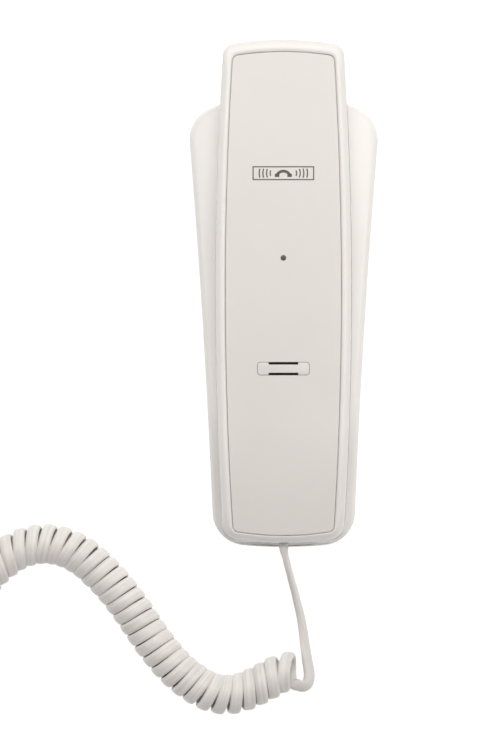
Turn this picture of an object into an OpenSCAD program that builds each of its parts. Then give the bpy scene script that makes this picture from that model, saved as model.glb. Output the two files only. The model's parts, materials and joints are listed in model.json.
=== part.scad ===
// Slimline corded wall phone lying on its back, with the handset in its cradle.
// +Y is the ear end, +Z points out of the cradle, and the rubber feet stand on Z = 0.
// The handset's curly cord lies on the same surface, and its free end holds a modular plug.

/* [Overall] */
// Length from the handset's ear end to the base's lower end
phone_len = 210.4; // [208:0.1:213]
// Width of the base across its shoulders, before they round off
base_w = 78.5; // [77.5:0.1:79.5]
// Height of the handset's face at its middle
face_top = 51; // [50.5:0.5:53]

/* [Handset] */
// Width of the handset at its waist
handset_w = 56.4; // [55.8:0.1:56.8]
// How much of the base shows below the handset's mouth end
base_lip = 1.5; // [1.2:0.1:2]
// Wall thickness of the handset's shells
handset_wall = 2; // [1.8:0.1:2.2]
// Height of the joint between the handset's two shells
parting_z = 36; // [35.8:0.1:36.5]
// Width of the rim around the face plate
rim_w = 4.1; // [3.8:0.1:4.4]
// Thickness of the inset face plate
plate_t = 1.5; // [1.3:0.1:1.6]
// How far the face plate lies below the rim's crest
plate_drop = 0.3; // [0.2:0.05:0.5]

/* [Base] */
// Wall thickness of the base cover
base_wall = 2.2; // [2:0.1:2.4]
// Height of the cradle's rim at its highest
rim_top = 34; // [33.5:0.25:34.5]
// Clearance between the handset and the cradle
cradle_gap = 0.7; // [0.5:0.1:0.9]
// Height of the bottom plate's underside above the surface
foot_h = 1.5; // [1.2:0.1:1.8]
// Thickness of the bottom plate
bottom_t = 2.5; // [2.3:0.1:2.8]
// Distance between the two wall keyholes
keyhole_pitch = 83; // [81:0.5:85]
// Radius of a keyhole's round end
keyhole_r = 4; // [3.8:0.1:4.2]
// Width of a keyhole's slot
keyhole_slot = 4.2; // [4:0.1:4.4]

/* [Keys] */
// Width of a key
key_w = 11.5; // [11:0.1:12]
// Height of a key along the handset
key_l = 7; // [6.5:0.1:7.5]
// Distance between key columns
key_pitch_x = 15; // [14.8:0.1:15.5]
// Distance between dial key rows
key_pitch_y = 13; // [12.5:0.1:13]
// How far a key stands out of the handset's inner face
key_proud = 1.8; // [1.5:0.1:2]

/* [Cord] */
// Outer diameter of the curly stretch
curl_d = 16.8; // [16:0.1:17]
// Diameter of a round lead with the flat cord's section area
lead_d = 3.4; // [3.2:0.1:3.6]

/* [Hidden] */
$fn = 48;
high = 90;
fit = 0.1;
loose = 0.3;

y_ear = phone_len / 2;
y_end = -phone_len / 2;
y_mouth = y_end + base_lip;

// Keys: three columns of dial keys over one row of function keys.
// They face -Z, so the column that reads first is at +X.
KEY_COLUMNS = [1, 0, -1];
DIAL_ROW_Y = 12;
FUNCTION_ROW_Y = -41;
DIAL_NAMES = [
    ["key_1", "key_2", "key_3"],
    ["key_4", "key_5", "key_6"],
    ["key_7", "key_8", "key_9"],
    ["key_star", "key_0", "key_hash"]
];
DIAL_KEYS = [
    for (row = [0:3], column = [0:2])
        [DIAL_NAMES[row][column], KEY_COLUMNS[column] * key_pitch_x, DIAL_ROW_Y - row * key_pitch_y]
];
FUNCTION_NAMES = ["key_recall", "key_redial", "key_mute"];
FUNCTION_KEYS = [
    for (column = [0:2]) [FUNCTION_NAMES[column], KEY_COLUMNS[column] * key_pitch_x, FUNCTION_ROW_Y]
];
KEYS = concat(DIAL_KEYS, FUNCTION_KEYS);

PIECES = [
    "base_cover", "bottom_plate", "rubber_feet", "base_screws", "ballast_plate",
    "base_circuit_board", "line_socket", "cord_socket", "base_socket_contacts",
    "hook_plunger", "hook_spring", "hook_switch", "hook_switch_wires",
    "handset_outer_shell", "face_plate", "handset_inner_shell", "ringer_grille",
    "indicator_lens", "indicator_diode", "badge", "handset_circuit_board", "board_parts",
    "key_mat", "ringer_switch", "ringer_slider", "receiver_capsule", "receiver_gasket",
    "receiver_wires", "microphone", "microphone_boot", "ringer_buzzer", "handset_socket",
    "handset_plug", "handset_plug_contacts", "handset_screws",
    "cord_lead", "cord_curl", "cord_tail", "free_plug", "free_plug_contacts"
];

// Inner face of the handset, from its mouth end to its ear end: [y, z]
FACE_Z = 29;
MOUTH_CAP_Z = 18;
EAR_CAP_Z = 17.3;
END_UNDER_Z = 21.5;
UNDER = [
    [-120, END_UNDER_Z], [-100.8, END_UNDER_Z], [-99.5, MOUTH_CAP_Z], [-72, MOUTH_CAP_Z], [-62, FACE_Z],
    [38, FACE_Z], [46, EAR_CAP_Z], [79.5, EAR_CAP_Z], [82, 24], [120, 29]
];
// Floor of the cradle, clear of the handset's inner face: [y, z]
CRADLE_Z = 24.5;
EAR_POCKET_Z = 16.9;
CRADLE = [
    [-120, 20.9], [-101.6, 20.9], [-100.3, 17.6], [-71.3, 17.6], [-61.3, CRADLE_Z],
    [37.3, CRADLE_Z], [45.3, EAR_POCKET_Z], [80.4, EAR_POCKET_Z], [82.7, 23.4], [120, 27]
];

// Insides of the handset
GRID_Z = FACE_Z + handset_wall;
MAT_Z = GRID_Z + 0.95;
BOARD_Z = GRID_Z + 2.5;
BOARD_T = 1.6;
KEY_TRAVEL = 1.2;
GRILLE_Y = -31.4;
LENS_Y = 14.5;
BADGE_Y = 49.6;
EARPIECE_Y = 63;
MIC_Y = -82;
SLIDER_Y = -53.5;
SLIDER_TRAVEL = 2;
HANDSET_SCREWS = [[-22, 28], [22, 28], [-21.5, -56], [21.5, -56]];
SOCKET_Z = 29.5;

// Insides of the base
INSIDE_Z = foot_h + bottom_t;
BASE_SCREWS = [[-22, 70], [22, 70], [-22, -50], [22, -50]];
FEET = [[-27, 56], [27, 56], [-20, -88], [20, -88]];
FOOT_R = 5;
KEYHOLE_Y = 20.5;
HOOK_Y = 30;
HOOK_TRAVEL = 3;
HOOK_SEAT_Z = 6.5;
JACK_X = 9.5;
JACK_Z = 9.7;
JACK_BACK_Y = -89;
BALLAST_AT = [0, -42];
BALLAST_T = 3.2;
BASE_BOARD_Z = 5;

// Free cord, as its own points [x, y, z]: round numbers, in order from the handset
LEAD_ROUTE = [
    [0, -104.9, 29.5], [0.2, -107.2, 29.4], [0.8, -110, 28.1], [1.6, -113.5, 25.3], [2.5, -117, 21.6],
    [3.5, -121, 17.2], [4.6, -125, 13], [5.5, -129, 9.4], [6.5, -133, 6.5], [7.3, -137, 4.4],
    [8, -141.5, 3], [8.6, -146, 2.4], [9.2, -150, 2.2], [9.8, -154, 2.2], [10.4, -157.5, 2.3],
    [10.5, -160.5, 2.5], [9.7, -163.2, 2.8], [7.8, -164.2, 3.1], [5.8, -163.6, 3.4], [4, -162.4, 3.8]
];
curl_r = curl_d / 2;
CURL_PLAN = [
    [3.3, -157.9], [-0.8, -158.4], [-6.2, -161.2], [-12.5, -164.4], [-18.8, -166.8], [-25.1, -167.5],
    [-31.4, -166.1], [-37, -163], [-42.2, -159.2], [-46.8, -154.8], [-51, -149.9], [-54.8, -145],
    [-58.2, -140], [-61.5, -135], [-65, -130], [-68.8, -125], [-73, -120], [-77.4, -115.6],
    [-82.2, -111.2], [-87.6, -107.8], [-93.6, -105.4], [-100, -104.6], [-106.5, -105.5], [-112.7, -108],
    [-118, -111.8], [-122.4, -115.8], [-126.2, -120.4], [-129.4, -125.8], [-131.8, -132], [-133, -139],
    [-133.4, -147], [-133.4, -155], [-133.4, -163], [-133.4, -171], [-133.4, -179], [-133.4, -187]
];
CURL_ROUTE = [for (p = CURL_PLAN) [p[0], p[1], curl_r]];
TAIL_ROUTE = [
    [-133.4, -187, 2.6], [-133.8, -191.5, 2], [-135.4, -196, 1.8], [-138.6, -199.8, 1.8],
    [-143, -202, 1.8], [-148, -202, 1.8], [-152.4, -199.8, 1.8], [-155.4, -196, 1.8],
    [-156.6, -191, 1.8], [-157, -185, 1.8], [-157, -178, 1.8], [-157, -171, 1.8], [-157, -164, 1.8],
    [-157, -157, 2], [-157, -150, 2.8], [-157, -145, 3.3], [-157, -140.1, 3.3]
];
PLUG_W = 7.65;
PLUG_H = 6.5;
PLUG_L = 11.6;
FREE_PLUG_AT = [-157, -140, 3.3];

// Half width of the handset at y: two shallow arcs
function handset_half(y) = handset_w / 2 - (y - 1) * (y - 1) / 3200;

// Half width of the base at y: a taper with slightly hollow sides
BASE_MID_Y = -13;
BASE_HALF_SPAN = 77;
BASE_TAPER = 0.0617;
BASE_HOLLOW = 0.85;
function base_half(y) =
    let (along = (y - BASE_MID_Y) / BASE_HALF_SPAN)
    base_w / 2
        - max(0, BASE_HALF_SPAN + BASE_MID_Y - y) * BASE_TAPER
        - min(BASE_HOLLOW * (1 - along * along), y > 0 ? max(0, BASE_HALF_SPAN + BASE_MID_Y - y) : 1);

// Height of the handset's face at y: a long arc that droops towards the mouth end
function face_z(y) =
    face_top - pow(y - 4, 2) / 1800 - pow(min(0, y + 55), 2) / 600;

// Height of the cradle's rim at y
RIM_DROP = 13.1;
RIM_FALL_FROM = -46;
RIM_FALL_SPAN = 56;
function ease(t) = let (c = max(0, min(1, t))) c * c * (3 - 2 * c);
function rim_z(y) =
    rim_top - pow(max(0, y - 20), 2) / 500 - RIM_DROP * ease((RIM_FALL_FROM - y) / RIM_FALL_SPAN);

// A corner of radius p[2] at the point p, between its neighbours before and after
CORNER_STEPS = 5;
function unit(v) = v / norm(v);
function corner(before, p, after) =
    let (
        at = [p[0], p[1]],
        u = unit([before[0], before[1]] - at),
        v = unit([after[0], after[1]] - at),
        half = acos(u * v) / 2,
        centre = at + unit(u + v) * p[2] / sin(half),
        start = at + u * p[2] / tan(half) - centre,
        finish = at + v * p[2] / tan(half) - centre,
        first = atan2(start[1], start[0]),
        turn = atan2(finish[1], finish[0]) - first,
        sweep = turn > 180 ? turn - 360 : turn < -180 ? turn + 360 : turn
    )
    [
        for (i = [0:CORNER_STEPS])
            let (a = first + sweep * i / CORNER_STEPS) centre + p[2] * [cos(a), sin(a)]
    ];
function rounded(points) =
    let (n = len(points))
    [
        for (i = [0:n - 1])
            each points[i][2] == 0
                ? [[points[i][0], points[i][1]]]
                : corner(points[(i + n - 1) % n], points[i], points[(i + 1) % n])
    ];

// Outline with arced ends and sides that follow half(y).
// An end is [y, arc radius, corner radius, steps across]
SIDE_STEPS = 10;
function end_points(end, half, grow, way) =
    let (w = half(end[0]) + grow)
    [
        for (i = [0:end[3]])
            let (x = w * (1 - 2 * i / end[3]))
            [
                way * x,
                end[0] + way * (grow - x * x / (2 * end[1])),
                i % end[3] == 0 ? max(end[2] + grow, 0.4) : 0
            ]
    ];
function outline(half, upper, lower, grow) =
    let (
        top = end_points(upper, half, grow, 1),
        bottom = end_points(lower, half, grow, -1),
        y0 = bottom[0][1],
        y1 = top[0][1],
        upwards = [for (i = [1:SIDE_STEPS - 1]) y0 + (y1 - y0) * i / SIDE_STEPS],
        downwards = [for (i = [1:SIDE_STEPS - 1]) y1 - (y1 - y0) * i / SIDE_STEPS]
    )
    rounded(concat(
        bottom,
        [for (y = upwards) [half(y) + grow, y, 0]],
        top,
        [for (y = downwards) [-half(y) - grow, y, 0]]
    ));
function handset_outline(grow) =
    outline(function (y) handset_half(y), [y_ear, 123, 5, 6], [y_mouth, 123, 6.5, 6], grow);
function plate_outline(grow) =
    outline(
        function (y) handset_half(y) - rim_w,
        [y_ear - rim_w - 1.1, 123, 2.6, 6],
        [y_mouth + rim_w - 1, 123, 2.3, 6],
        grow
    );
function base_outline(grow) =
    outline(function (y) base_half(y), [84.2, 64, 14, 8], [y_end, 300, 14, 4], grow);

// Prism of an outline, from z0 up to z1
module upright(points, z0, z1) {
    translate([0, 0, z0])
        linear_extrude(z1 - z0)
            polygon(points);
}

// Slab across the whole width, between the heights low(y) and high(y)
SLAB_Y = 112;
module slab(low, top, steps = 32) {
    ys = [for (i = [0:steps]) -SLAB_Y + 2 * SLAB_Y * i / steps];
    rotate([90, 0, 90])
        linear_extrude(2 * high, center = true)
            polygon(concat(
                [for (y = ys) [y, low(y)]],
                [for (i = [0:steps]) [ys[steps - i], top(ys[steps - i])]]
            ));
}

// The space above a straight-line profile of [y, z] points
module above(profile, lift = 0) {
    n = len(profile);
    rotate([90, 0, 90])
        linear_extrude(2 * high, center = true)
            polygon(concat(
                [for (p = profile) [p[0], p[1] + lift]],
                [[profile[n - 1][0], high], [profile[0][0], high]]
            ));
}

// Upright post with its foot at p
module post(p, z0, z1, r) {
    translate([p[0], p[1], z0])
        cylinder(h = z1 - z0, r = r);
}

// Box centred on p in plan
module block(p, size, z0, z1) {
    translate([p[0] - size[0] / 2, p[1] - size[1] / 2, z0])
        cube([size[0], size[1], z1 - z0]);
}

// Box with round upright edges
module pad(p, size, z0, z1, r = 1) {
    w = size[0] / 2;
    l = size[1] / 2;
    translate([p[0], p[1], 0])
        upright(rounded([[-w, -l, r], [w, -l, r], [w, l, r], [-w, l, r]]), z0, z1);
}

// Tube along a route, or a closed solid round it, with sides flat faces round each ring
module tube(route, r, sides) {
    n = len(route);
    rings = [
        for (i = [0:n - 1])
            let (
                along = unit(route[min(i + 1, n - 1)] - route[max(i - 1, 0)]),
                across = unit(cross(along, [0, 0, 1])),
                up = cross(across, along)
            )
            for (k = [0:sides - 1])
                let (a = 360 * k / sides)
                route[i] + r * (across * sin(a) - up * cos(a))
    ];
    polyhedron(
        points = rings,
        faces = concat(
            [[for (k = [0:sides - 1]) sides - 1 - k]],
            [
                for (i = [0:n - 2], k = [0:sides - 1])
                    let (a = i * sides + k, b = i * sides + (k + 1) % sides)
                    each [[a, b, b + sides], [a, b + sides, a + sides]]
            ],
            [[for (k = [0:sides - 1]) (n - 1) * sides + k]]
        )
    );
}

// Pan-head screw standing on its head at p, with a cross recess
module screw(p, z, head_r, head_h, shank_r, length) {
    difference() {
        union() {
            post(p, z, z + head_h, head_r);
            post(p, z, z + length, shank_r);
        }
        block(p, [head_r * 1.2, 0.8], z - 1, z + head_h * 0.55);
        block(p, [0.8, head_r * 1.2], z - 1, z + head_h * 0.55);
    }
}

// ---- Base ----

// Outside of the base, drawn in by inset all over; its wings slope gently outwards
WING_FROM = 27;
WING_SPAN = 16;
WING_FALL = 2.7;
module base_solid(inset, z0) {
    edge = WING_FROM + WING_SPAN;
    intersection() {
        upright(base_outline(-inset), z0, high);
        slab(function (y) -1, function (y) rim_z(y) - inset);
        rotate([90, 0, 0])
            linear_extrude(2 * high + 60, center = true)
                polygon([
                    [-edge, -5], [edge, -5], [edge, rim_top - WING_FALL - inset], [WING_FROM, rim_top - inset],
                    [-WING_FROM, rim_top - inset], [-edge, rim_top - WING_FALL - inset]
                ]);
    }
}

// The cradle's hollow, grown by wall
module cradle(wall) {
    intersection() {
        upright(handset_outline(cradle_gap + wall), 0, high);
        above(CRADLE, -wall);
    }
}

module socket_window(x, w, h) {
    translate([x - w / 2, y_end - 3, JACK_Z - h / 2])
        cube([w, 8, h]);
}

PLUNGER = [12, 7];
module base_cover() {
    color("#efebe6")
        difference() {
            union() {
                difference() {
                    base_solid(0, foot_h);
                    difference() {
                        base_solid(base_wall, 0);
                        cradle(base_wall);
                    }
                    cradle(0);
                }
                intersection() {
                    for (p = BASE_SCREWS)
                        post(p, INSIDE_Z, 23, 3.2);
                    difference() {
                        upright(base_outline(-1), 0, high);
                        above(CRADLE, -base_wall + 0.2);
                    }
                }
            }
            for (p = BASE_SCREWS)
                post(p, 0, 13, 1.25);
            pad([0, HOOK_Y], PLUNGER + [0.8, 0.8], 20, 30);
            socket_window(-JACK_X, 13.2, 9.2);
            socket_window(JACK_X, 11, 9.2);
        }
}

module keyhole(y) {
    post([0, y], 0, 10, keyhole_r);
    block([0, y + 4], [keyhole_slot, 8], 0, 10);
    post([0, y + 8], 0, 10, keyhole_slot / 2);
}

HEAD_H = 1.3;
module bottom_plate() {
    color("#d8d3cd")
        difference() {
            union() {
                upright(base_outline(-base_wall - 0.2), foot_h, INSIDE_Z);
                block([-16, -70], [3, 3], INSIDE_Z, BASE_BOARD_Z);
                block([16, -70], [3, 3], INSIDE_Z, BASE_BOARD_Z);
                post([0, HOOK_Y], INSIDE_Z, HOOK_SEAT_Z, 5);
                post(BALLAST_AT, INSIDE_Z, INSIDE_Z + BALLAST_T, 2);
            }
            for (side = [-1, 1])
                keyhole(KEYHOLE_Y + side * keyhole_pitch / 2);
            for (p = BASE_SCREWS) {
                post(p, 0, foot_h + HEAD_H + fit, 3);
                post(p, 0, 10, 1.6);
            }
            for (p = FEET)
                post(p, 0, foot_h + 0.5, FOOT_R + fit);
        }
}

module rubber_feet() {
    color("#3a3a3a")
        for (p = FEET)
            post(p, 0, foot_h + 0.5, FOOT_R);
}

module base_screws() {
    color("silver")
        for (p = BASE_SCREWS)
            screw(p, foot_h + fit, 2.7, HEAD_H, 1.2, 10);
}

module ballast_plate() {
    color("#8d9093")
        difference() {
            pad(BALLAST_AT, [28, 22], INSIDE_Z, INSIDE_Z + BALLAST_T, 2);
            post(BALLAST_AT, 0, 20, 2.1);
        }
}

module base_circuit_board() {
    color("#2f6b3c")
        block([0, -72], [36, 33.6], BASE_BOARD_Z, BASE_BOARD_Z + BOARD_T);
}

// Open-fronted modular socket with its mouth at the base's lower end
module modular_socket(x, w, mouth_w) {
    front = y_end + 0.4;
    h = 9;
    difference() {
        translate([x - w / 2, front, JACK_Z - h / 2])
            cube([w, JACK_BACK_Y - front, h]);
        translate([x - mouth_w / 2, front - 1, JACK_Z - 3.4])
            cube([mouth_w, 12.5, 6.8]);
        translate([x - 2, front - 1, JACK_Z - h / 2 - 1])
            cube([4, 8, 3]);
    }
}

module line_socket() {
    color("#2b2b2d")
        modular_socket(-JACK_X, 13, 9.9);
}

module cord_socket() {
    color("#2b2b2d")
        modular_socket(JACK_X, 10.8, 7.9);
}

// Sloping contact springs under the roof of a socket's mouth
module socket_contacts(x, count) {
    for (i = [0:count - 1])
        translate([x + (i - (count - 1) / 2) * 1.02 - 0.2, y_end + 3, JACK_Z + 2.2])
            cube([0.4, 8.4, 1.1]);
}

module base_socket_contacts() {
    color("gold") {
        socket_contacts(-JACK_X, 4);
        socket_contacts(JACK_X, 4);
    }
}

module hook_plunger() {
    top = FACE_Z - 0.3;
    flange = top - 10.5;
    color("#e6e2dc")
        difference() {
            union() {
                pad([0, HOOK_Y], PLUNGER, flange, top, 1);
                pad([0, HOOK_Y], [26, 11], flange - 2, flange, 1);
                post([0, HOOK_Y], flange - 6, flange, 2);
            }
            pad([0, HOOK_Y], PLUNGER - [4, 5.6], top - 1.2, top + 1, 0.6);
        }
}

SPRING_TURNS = 7;
SPRING_STEPS = 10;
module hook_spring() {
    top = FACE_Z - 0.3 - 12.5;
    wire_r = 0.3;
    turns = SPRING_TURNS * SPRING_STEPS;
    rise = top - HOOK_SEAT_Z - 2 * wire_r - 0.3;
    color("silver")
        tube(
            [
                for (i = [0:turns])
                    let (a = 360 * i / SPRING_STEPS)
                    [3.3 * cos(a), HOOK_Y + 3.3 * sin(a), HOOK_SEAT_Z + 0.15 + wire_r + rise * i / turns]
            ],
            wire_r,
            6
        );
}

SWITCH_X = 13;
module hook_switch() {
    color("#303236") {
        block([SWITCH_X, HOOK_Y], [6, 12], INSIDE_Z, 12);
        block([SWITCH_X - 1.4, HOOK_Y], [1.2, 4], 11, 15.6);
    }
}

WIRE_ROUTE = [
    [12, 24, 5], [12.5, 18, 4.8], [14, 8, 4.6], [15, -2, 4.6], [15, -14, 4.6], [15, -26, 4.6],
    [15, -38, 4.6], [15, -48, 4.7], [14.7, -51.5, 5.6], [14.2, -54.4, 7], [13.6, -57.5, 7.2], [13, -61, 7.1]
];
module hook_switch_wires() {
    color("firebrick")
        for (i = [0:2])
            tube(
                [for (p = WIRE_ROUTE) p + [i, 0, 0]],
                0.4,
                8
            );
}

// ---- Handset ----

module face_slab(under_low, under_top) {
    slab(function (y) face_z(y) - under_low, function (y) face_z(y) - under_top);
}

// Everything inside the handset's shells, above the inner shell's floor
ceiling_drop = plate_drop + plate_t + handset_wall;
module handset_hollow() {
    intersection() {
        upright(handset_outline(-handset_wall), 0, high);
        slab(function (y) 0, function (y) face_z(y) - ceiling_drop);
        above(UNDER, handset_wall);
    }
}

GRILLE = [21.4, 5.2];
BUZZER_R = 11.5;
LENS_R = 1.1;
module handset_outer_shell() {
    color("#f3efeb")
        difference() {
            union() {
                difference() {
                    intersection() {
                        upright(handset_outline(0), parting_z, high);
                        slab(function (y) 0, function (y) face_z(y));
                    }
                    handset_hollow();
                }
                intersection() {
                    slab(function (y) 0, function (y) face_z(y) - ceiling_drop + 0.2);
                    union() {
                        for (p = HANDSET_SCREWS)
                            post(p, GRID_Z + loose, high, 3);
                        post([0, GRILLE_Y], 42.5, high, BUZZER_R + 1.6);
                    }
                }
            }
            intersection() {
                post([0, GRILLE_Y], 42, high, BUZZER_R + fit);
                slab(function (y) 0, function (y) face_z(y) - ceiling_drop);
            }
            intersection() {
                upright(plate_outline(0.25), 0, high);
                face_slab(plate_drop + plate_t, -5);
            }
            for (p = HANDSET_SCREWS)
                post(p, 0, 41, 1.25);
            pad([0, GRILLE_Y], GRILLE + [0.2, 0.2], 40, high, 1.3);
            post([0, LENS_Y], 40, high, LENS_R + fit);
        }
}

module face_plate() {
    color("#e4dfda")
        difference() {
            intersection() {
                upright(plate_outline(0), 0, high);
                face_slab(plate_drop + plate_t, plate_drop);
            }
            pad([0, GRILLE_Y], GRILLE + [0.2, 0.2], 40, high, 1.3);
            post([0, LENS_Y], 40, high, LENS_R + fit);
        }
}

KEY_CLEAR = 0.25;
SLIDER_CAP = [4, 2.6];
SOCKET_SIZE = [10.8, 11.2];
HANDSET_HEAD_H = 0.9;
module handset_inner_shell() {
    color("#ece8e3")
        difference() {
            intersection() {
                upright(handset_outline(0), 0, parting_z);
                above(UNDER);
            }
            handset_hollow();
            for (k = KEYS)
                pad([k[1], k[2]], [key_w, key_l] + 2 * [KEY_CLEAR, KEY_CLEAR], 20, 40, 1.5 + KEY_CLEAR);
            pad([0, SLIDER_Y], SLIDER_CAP + [2 * SLIDER_TRAVEL + 0.6, 0.5], 20, 40, 0.8);
            post([0, EARPIECE_Y], 10, 22, 0.9);
            for (ring = [[6, 5], [12, 10]], i = [1:ring[0]])
                let (a = 360 * i / ring[0])
                    post([ring[1] * cos(a), EARPIECE_Y + ring[1] * sin(a)], 10, 22, 0.9);
            for (x = [-3, 0, 3])
                post([x, MIC_Y], 10, 22, 0.7);
            translate([-SOCKET_SIZE[0] / 2 - fit, y_mouth - 2, SOCKET_Z - SOCKET_SIZE[1] / 2 - fit])
                cube([SOCKET_SIZE[0] + 2 * fit, 6, SOCKET_SIZE[1] + 2 * fit]);
            for (p = HANDSET_SCREWS) {
                post(p, 20, FACE_Z + HANDSET_HEAD_H + fit, 2.9);
                post(p, 20, 40, 1.6);
            }
        }
}

module ringer_grille() {
    color("#ddd8d3")
        intersection() {
            difference() {
                pad([0, GRILLE_Y], GRILLE, 40, high, 1.2);
                for (side = [-1, 1])
                    block([0, GRILLE_Y + side * (GRILLE[1] - 1.1) / 2], [12.3, 1.12], 30, high);
            }
            face_slab(ceiling_drop, plate_drop);
        }
}

module indicator_lens() {
    color("#5f5a56")
        intersection() {
            post([0, LENS_Y], 44.2, high, LENS_R);
            slab(function (y) 0, function (y) face_z(y) - plate_drop);
        }
}

module indicator_diode() {
    board_top = BOARD_Z + BOARD_T;
    color("#a33")
        union() {
            post([0, LENS_Y], 38.2, 44.1, 1.5);
            post([0, LENS_Y], 38.2, 39, 1.9);
            for (side = [-1, 1])
                block([side * 1.27, LENS_Y], [0.5, 0.5], board_top, 38.4);
        }
}

// Generic pictogram: a handset between two sets of sound arcs, in a plain frame
BADGE_FRAME = [25.6, 5.8];
BADGE_LINE = 0.5;
ARC_LINE = 0.55;
module sound_arc(r) {
    translate([2.6, 0])
        intersection() {
            difference() {
                circle(r = r + ARC_LINE);
                circle(r = r);
            }
            polygon([[0, 0], [4, -1.8], [9, -1.8], [9, 1.8], [4, 1.8]]);
        }
}

module badge() {
    color("#6b6661")
        intersection() {
            translate([0, BADGE_Y, 0])
                linear_extrude(high)
                    union() {
                        difference() {
                            square(BADGE_FRAME, center = true);
                            square(BADGE_FRAME - 2 * [BADGE_LINE, BADGE_LINE], center = true);
                        }
                        intersection() {
                            translate([0, -2.15])
                                difference() {
                                    circle(r = 3.6);
                                    circle(r = 2.4);
                                }
                            translate([-3.4, -0.5])
                                square([6.8, 2.4]);
                        }
                        for (side = [-1, 1])
                            translate([side * 2.6 - 0.95, -1.6])
                                square([1.9, 1.3]);
                        for (side = [0, 1])
                            mirror([side, 0])
                                for (r = [2.6, 4.1, 5.6, 7.1])
                                    sound_arc(r);
                    }
            face_slab(plate_drop, plate_drop - 0.15);
        }
}

module handset_circuit_board() {
    color("#2f6b3c")
        block([0, -17], [36, 84], BOARD_Z, BOARD_Z + BOARD_T);
}

module board_parts() {
    board_top = BOARD_Z + BOARD_T;
    color("#26282b") {
        block([-8, 2], [12, 7], board_top, board_top + 1.8);
        block([-9, -12], [6, 5], board_top, board_top + 1.6);
        post([11, 4], board_top, board_top + 7, 3);
        post([11, -5], board_top, board_top + 6, 2.5);
    }
}

DOME_R = 3;
module key_mat() {
    color("#c9c4bd")
        union() {
            pad([0, -14.5], [40, 65], BOARD_Z - 0.7, BOARD_Z - 0.1, 2);
            for (k = KEYS)
                post([k[1], k[2]], MAT_Z, BOARD_Z - 0.5, DOME_R);
        }
}

module phone_key(p) {
    flange = GRID_Z + 0.05;
    color("#f6f3ef")
        union() {
            pad(p, [key_w, key_l], FACE_Z - key_proud, flange + 0.4, 1.5);
            pad(p, [key_w + 1.8, key_l + 1.8], flange, flange + 0.8, 2);
        }
}

module ringer_switch() {
    color("#303236")
        block([0, SLIDER_Y], [11, 5], GRID_Z + 0.65, BOARD_Z - 0.05);
}

module ringer_slider() {
    flange = GRID_Z + 0.05;
    color("#d9d4ce")
        union() {
            pad([0, SLIDER_Y], SLIDER_CAP, FACE_Z - 0.8, flange + 0.2, 0.6);
            block([0, SLIDER_Y], [12, 5], flange, flange + 0.45);
        }
}

RECEIVER_R = 15;
GASKET_T = 1.1;
ear_floor = EAR_CAP_Z + handset_wall;
module receiver_capsule() {
    base = ear_floor + GASKET_T + fit;
    color("#4a4c50")
        union() {
            post([0, EARPIECE_Y], base, base + 4, RECEIVER_R);
            post([0, EARPIECE_Y], base + 4, base + 6, 10);
        }
}

module receiver_gasket() {
    color("#2a2a2c")
        difference() {
            post([0, EARPIECE_Y], ear_floor + 0.05, ear_floor + GASKET_T, RECEIVER_R);
            post([0, EARPIECE_Y], 0, 40, RECEIVER_R - 2.5);
        }
}

module receiver_wires() {
    color("firebrick")
        for (side = [-1, 1])
            tube(
                [
                    [side * 2, 62, 27.1], [side * 2, 57, 27.4], [side * 2, 52, 28.6], [side * 2, 47, 30.8],
                    [side * 2, 42, 33.2], [side * 2, 37, 35], [side * 2.2, 32, 35.9], [side * 2.6, 27, 36],
                    [side * 3, 22, 35.7]
                ],
                0.5,
                8
            );
}

mouth_floor = MOUTH_CAP_Z + handset_wall;
MIC_R = 4.85;
module microphone() {
    color("silver")
        post([0, MIC_Y], mouth_floor + 1.3, mouth_floor + 6, MIC_R);
}

module microphone_boot() {
    color("#2a2a2c")
        difference() {
            post([0, MIC_Y], mouth_floor + 0.05, mouth_floor + 7, MIC_R + 1.9);
            post([0, MIC_Y], mouth_floor + 1.25, 60, MIC_R + 0.05);
            post([0, MIC_Y], 0, 60, 3.8);
        }
}

module ringer_buzzer() {
    board_top = BOARD_Z + BOARD_T;
    color("#1f1f21")
        union() {
            post([0, GRILLE_Y], 41.5, 45.6, BUZZER_R);
            for (side = [-1, 1])
                post([side * 4, GRILLE_Y], board_top, 41.8, 0.4);
        }
}

// Sleeve for a modular plug, lying along +Y with its mouth at y = 0, wide along X, latch side down
SLEEVE_L = 12.8;
module sleeve(w, h, mouth_w) {
    difference() {
        translate([-w / 2, 0, -h / 2])
            cube([w, SLEEVE_L, h]);
        translate([-mouth_w / 2, -1, -3.4])
            cube([mouth_w, 12.9, 6.8]);
        translate([-2, -1, -4.8])
            cube([4, 12, 3]);
    }
}

module handset_socket() {
    color("#2b2b2d")
        translate([0, y_mouth + 0.4, SOCKET_Z])
            rotate([0, 90, 0])
                sleeve(SOCKET_SIZE[1], SOCKET_SIZE[0], 7.9);
}

// Modular plug lying along +Y with its cord end at y = 0, wide along X, latch down
module plug(latch_open) {
    union() {
        translate([-PLUG_W / 2, 0, -PLUG_H / 2])
            cube([PLUG_W, PLUG_L - 2.8, PLUG_H]);
        difference() {
            translate([-PLUG_W / 2, PLUG_L - 2.81, -PLUG_H / 2])
                cube([PLUG_W, 2.81, PLUG_H]);
            for (i = [0:3])
                translate([(i - 1.5) * 1.02 - 0.25, PLUG_L - 2.8, 1.2])
                    cube([0.5, 4, 4]);
        }
        rotate([90, 0, 90])
            linear_extrude(3.2, center = true)
                polygon([
                    [10.8, -3.2], [9.4, -4.2], [0.6, -3.6 - latch_open], [0.6, -2.9 - latch_open],
                    [9, -3.6], [9.4, -3.2]
                ]);
    }
}

module plug_contacts() {
    for (i = [0:3])
        translate([(i - 1.5) * 1.02 - 0.15, PLUG_L - 2.7, 1.25])
            cube([0.3, 2.5, 1.8]);
}

module in_handset_socket() {
    translate([0, y_mouth - 0.8, SOCKET_Z])
        rotate([0, 90, 0])
            children();
}

module at_free_end() {
    translate(FREE_PLUG_AT)
        rotate([0, 180, 0])
            children();
}

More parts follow.
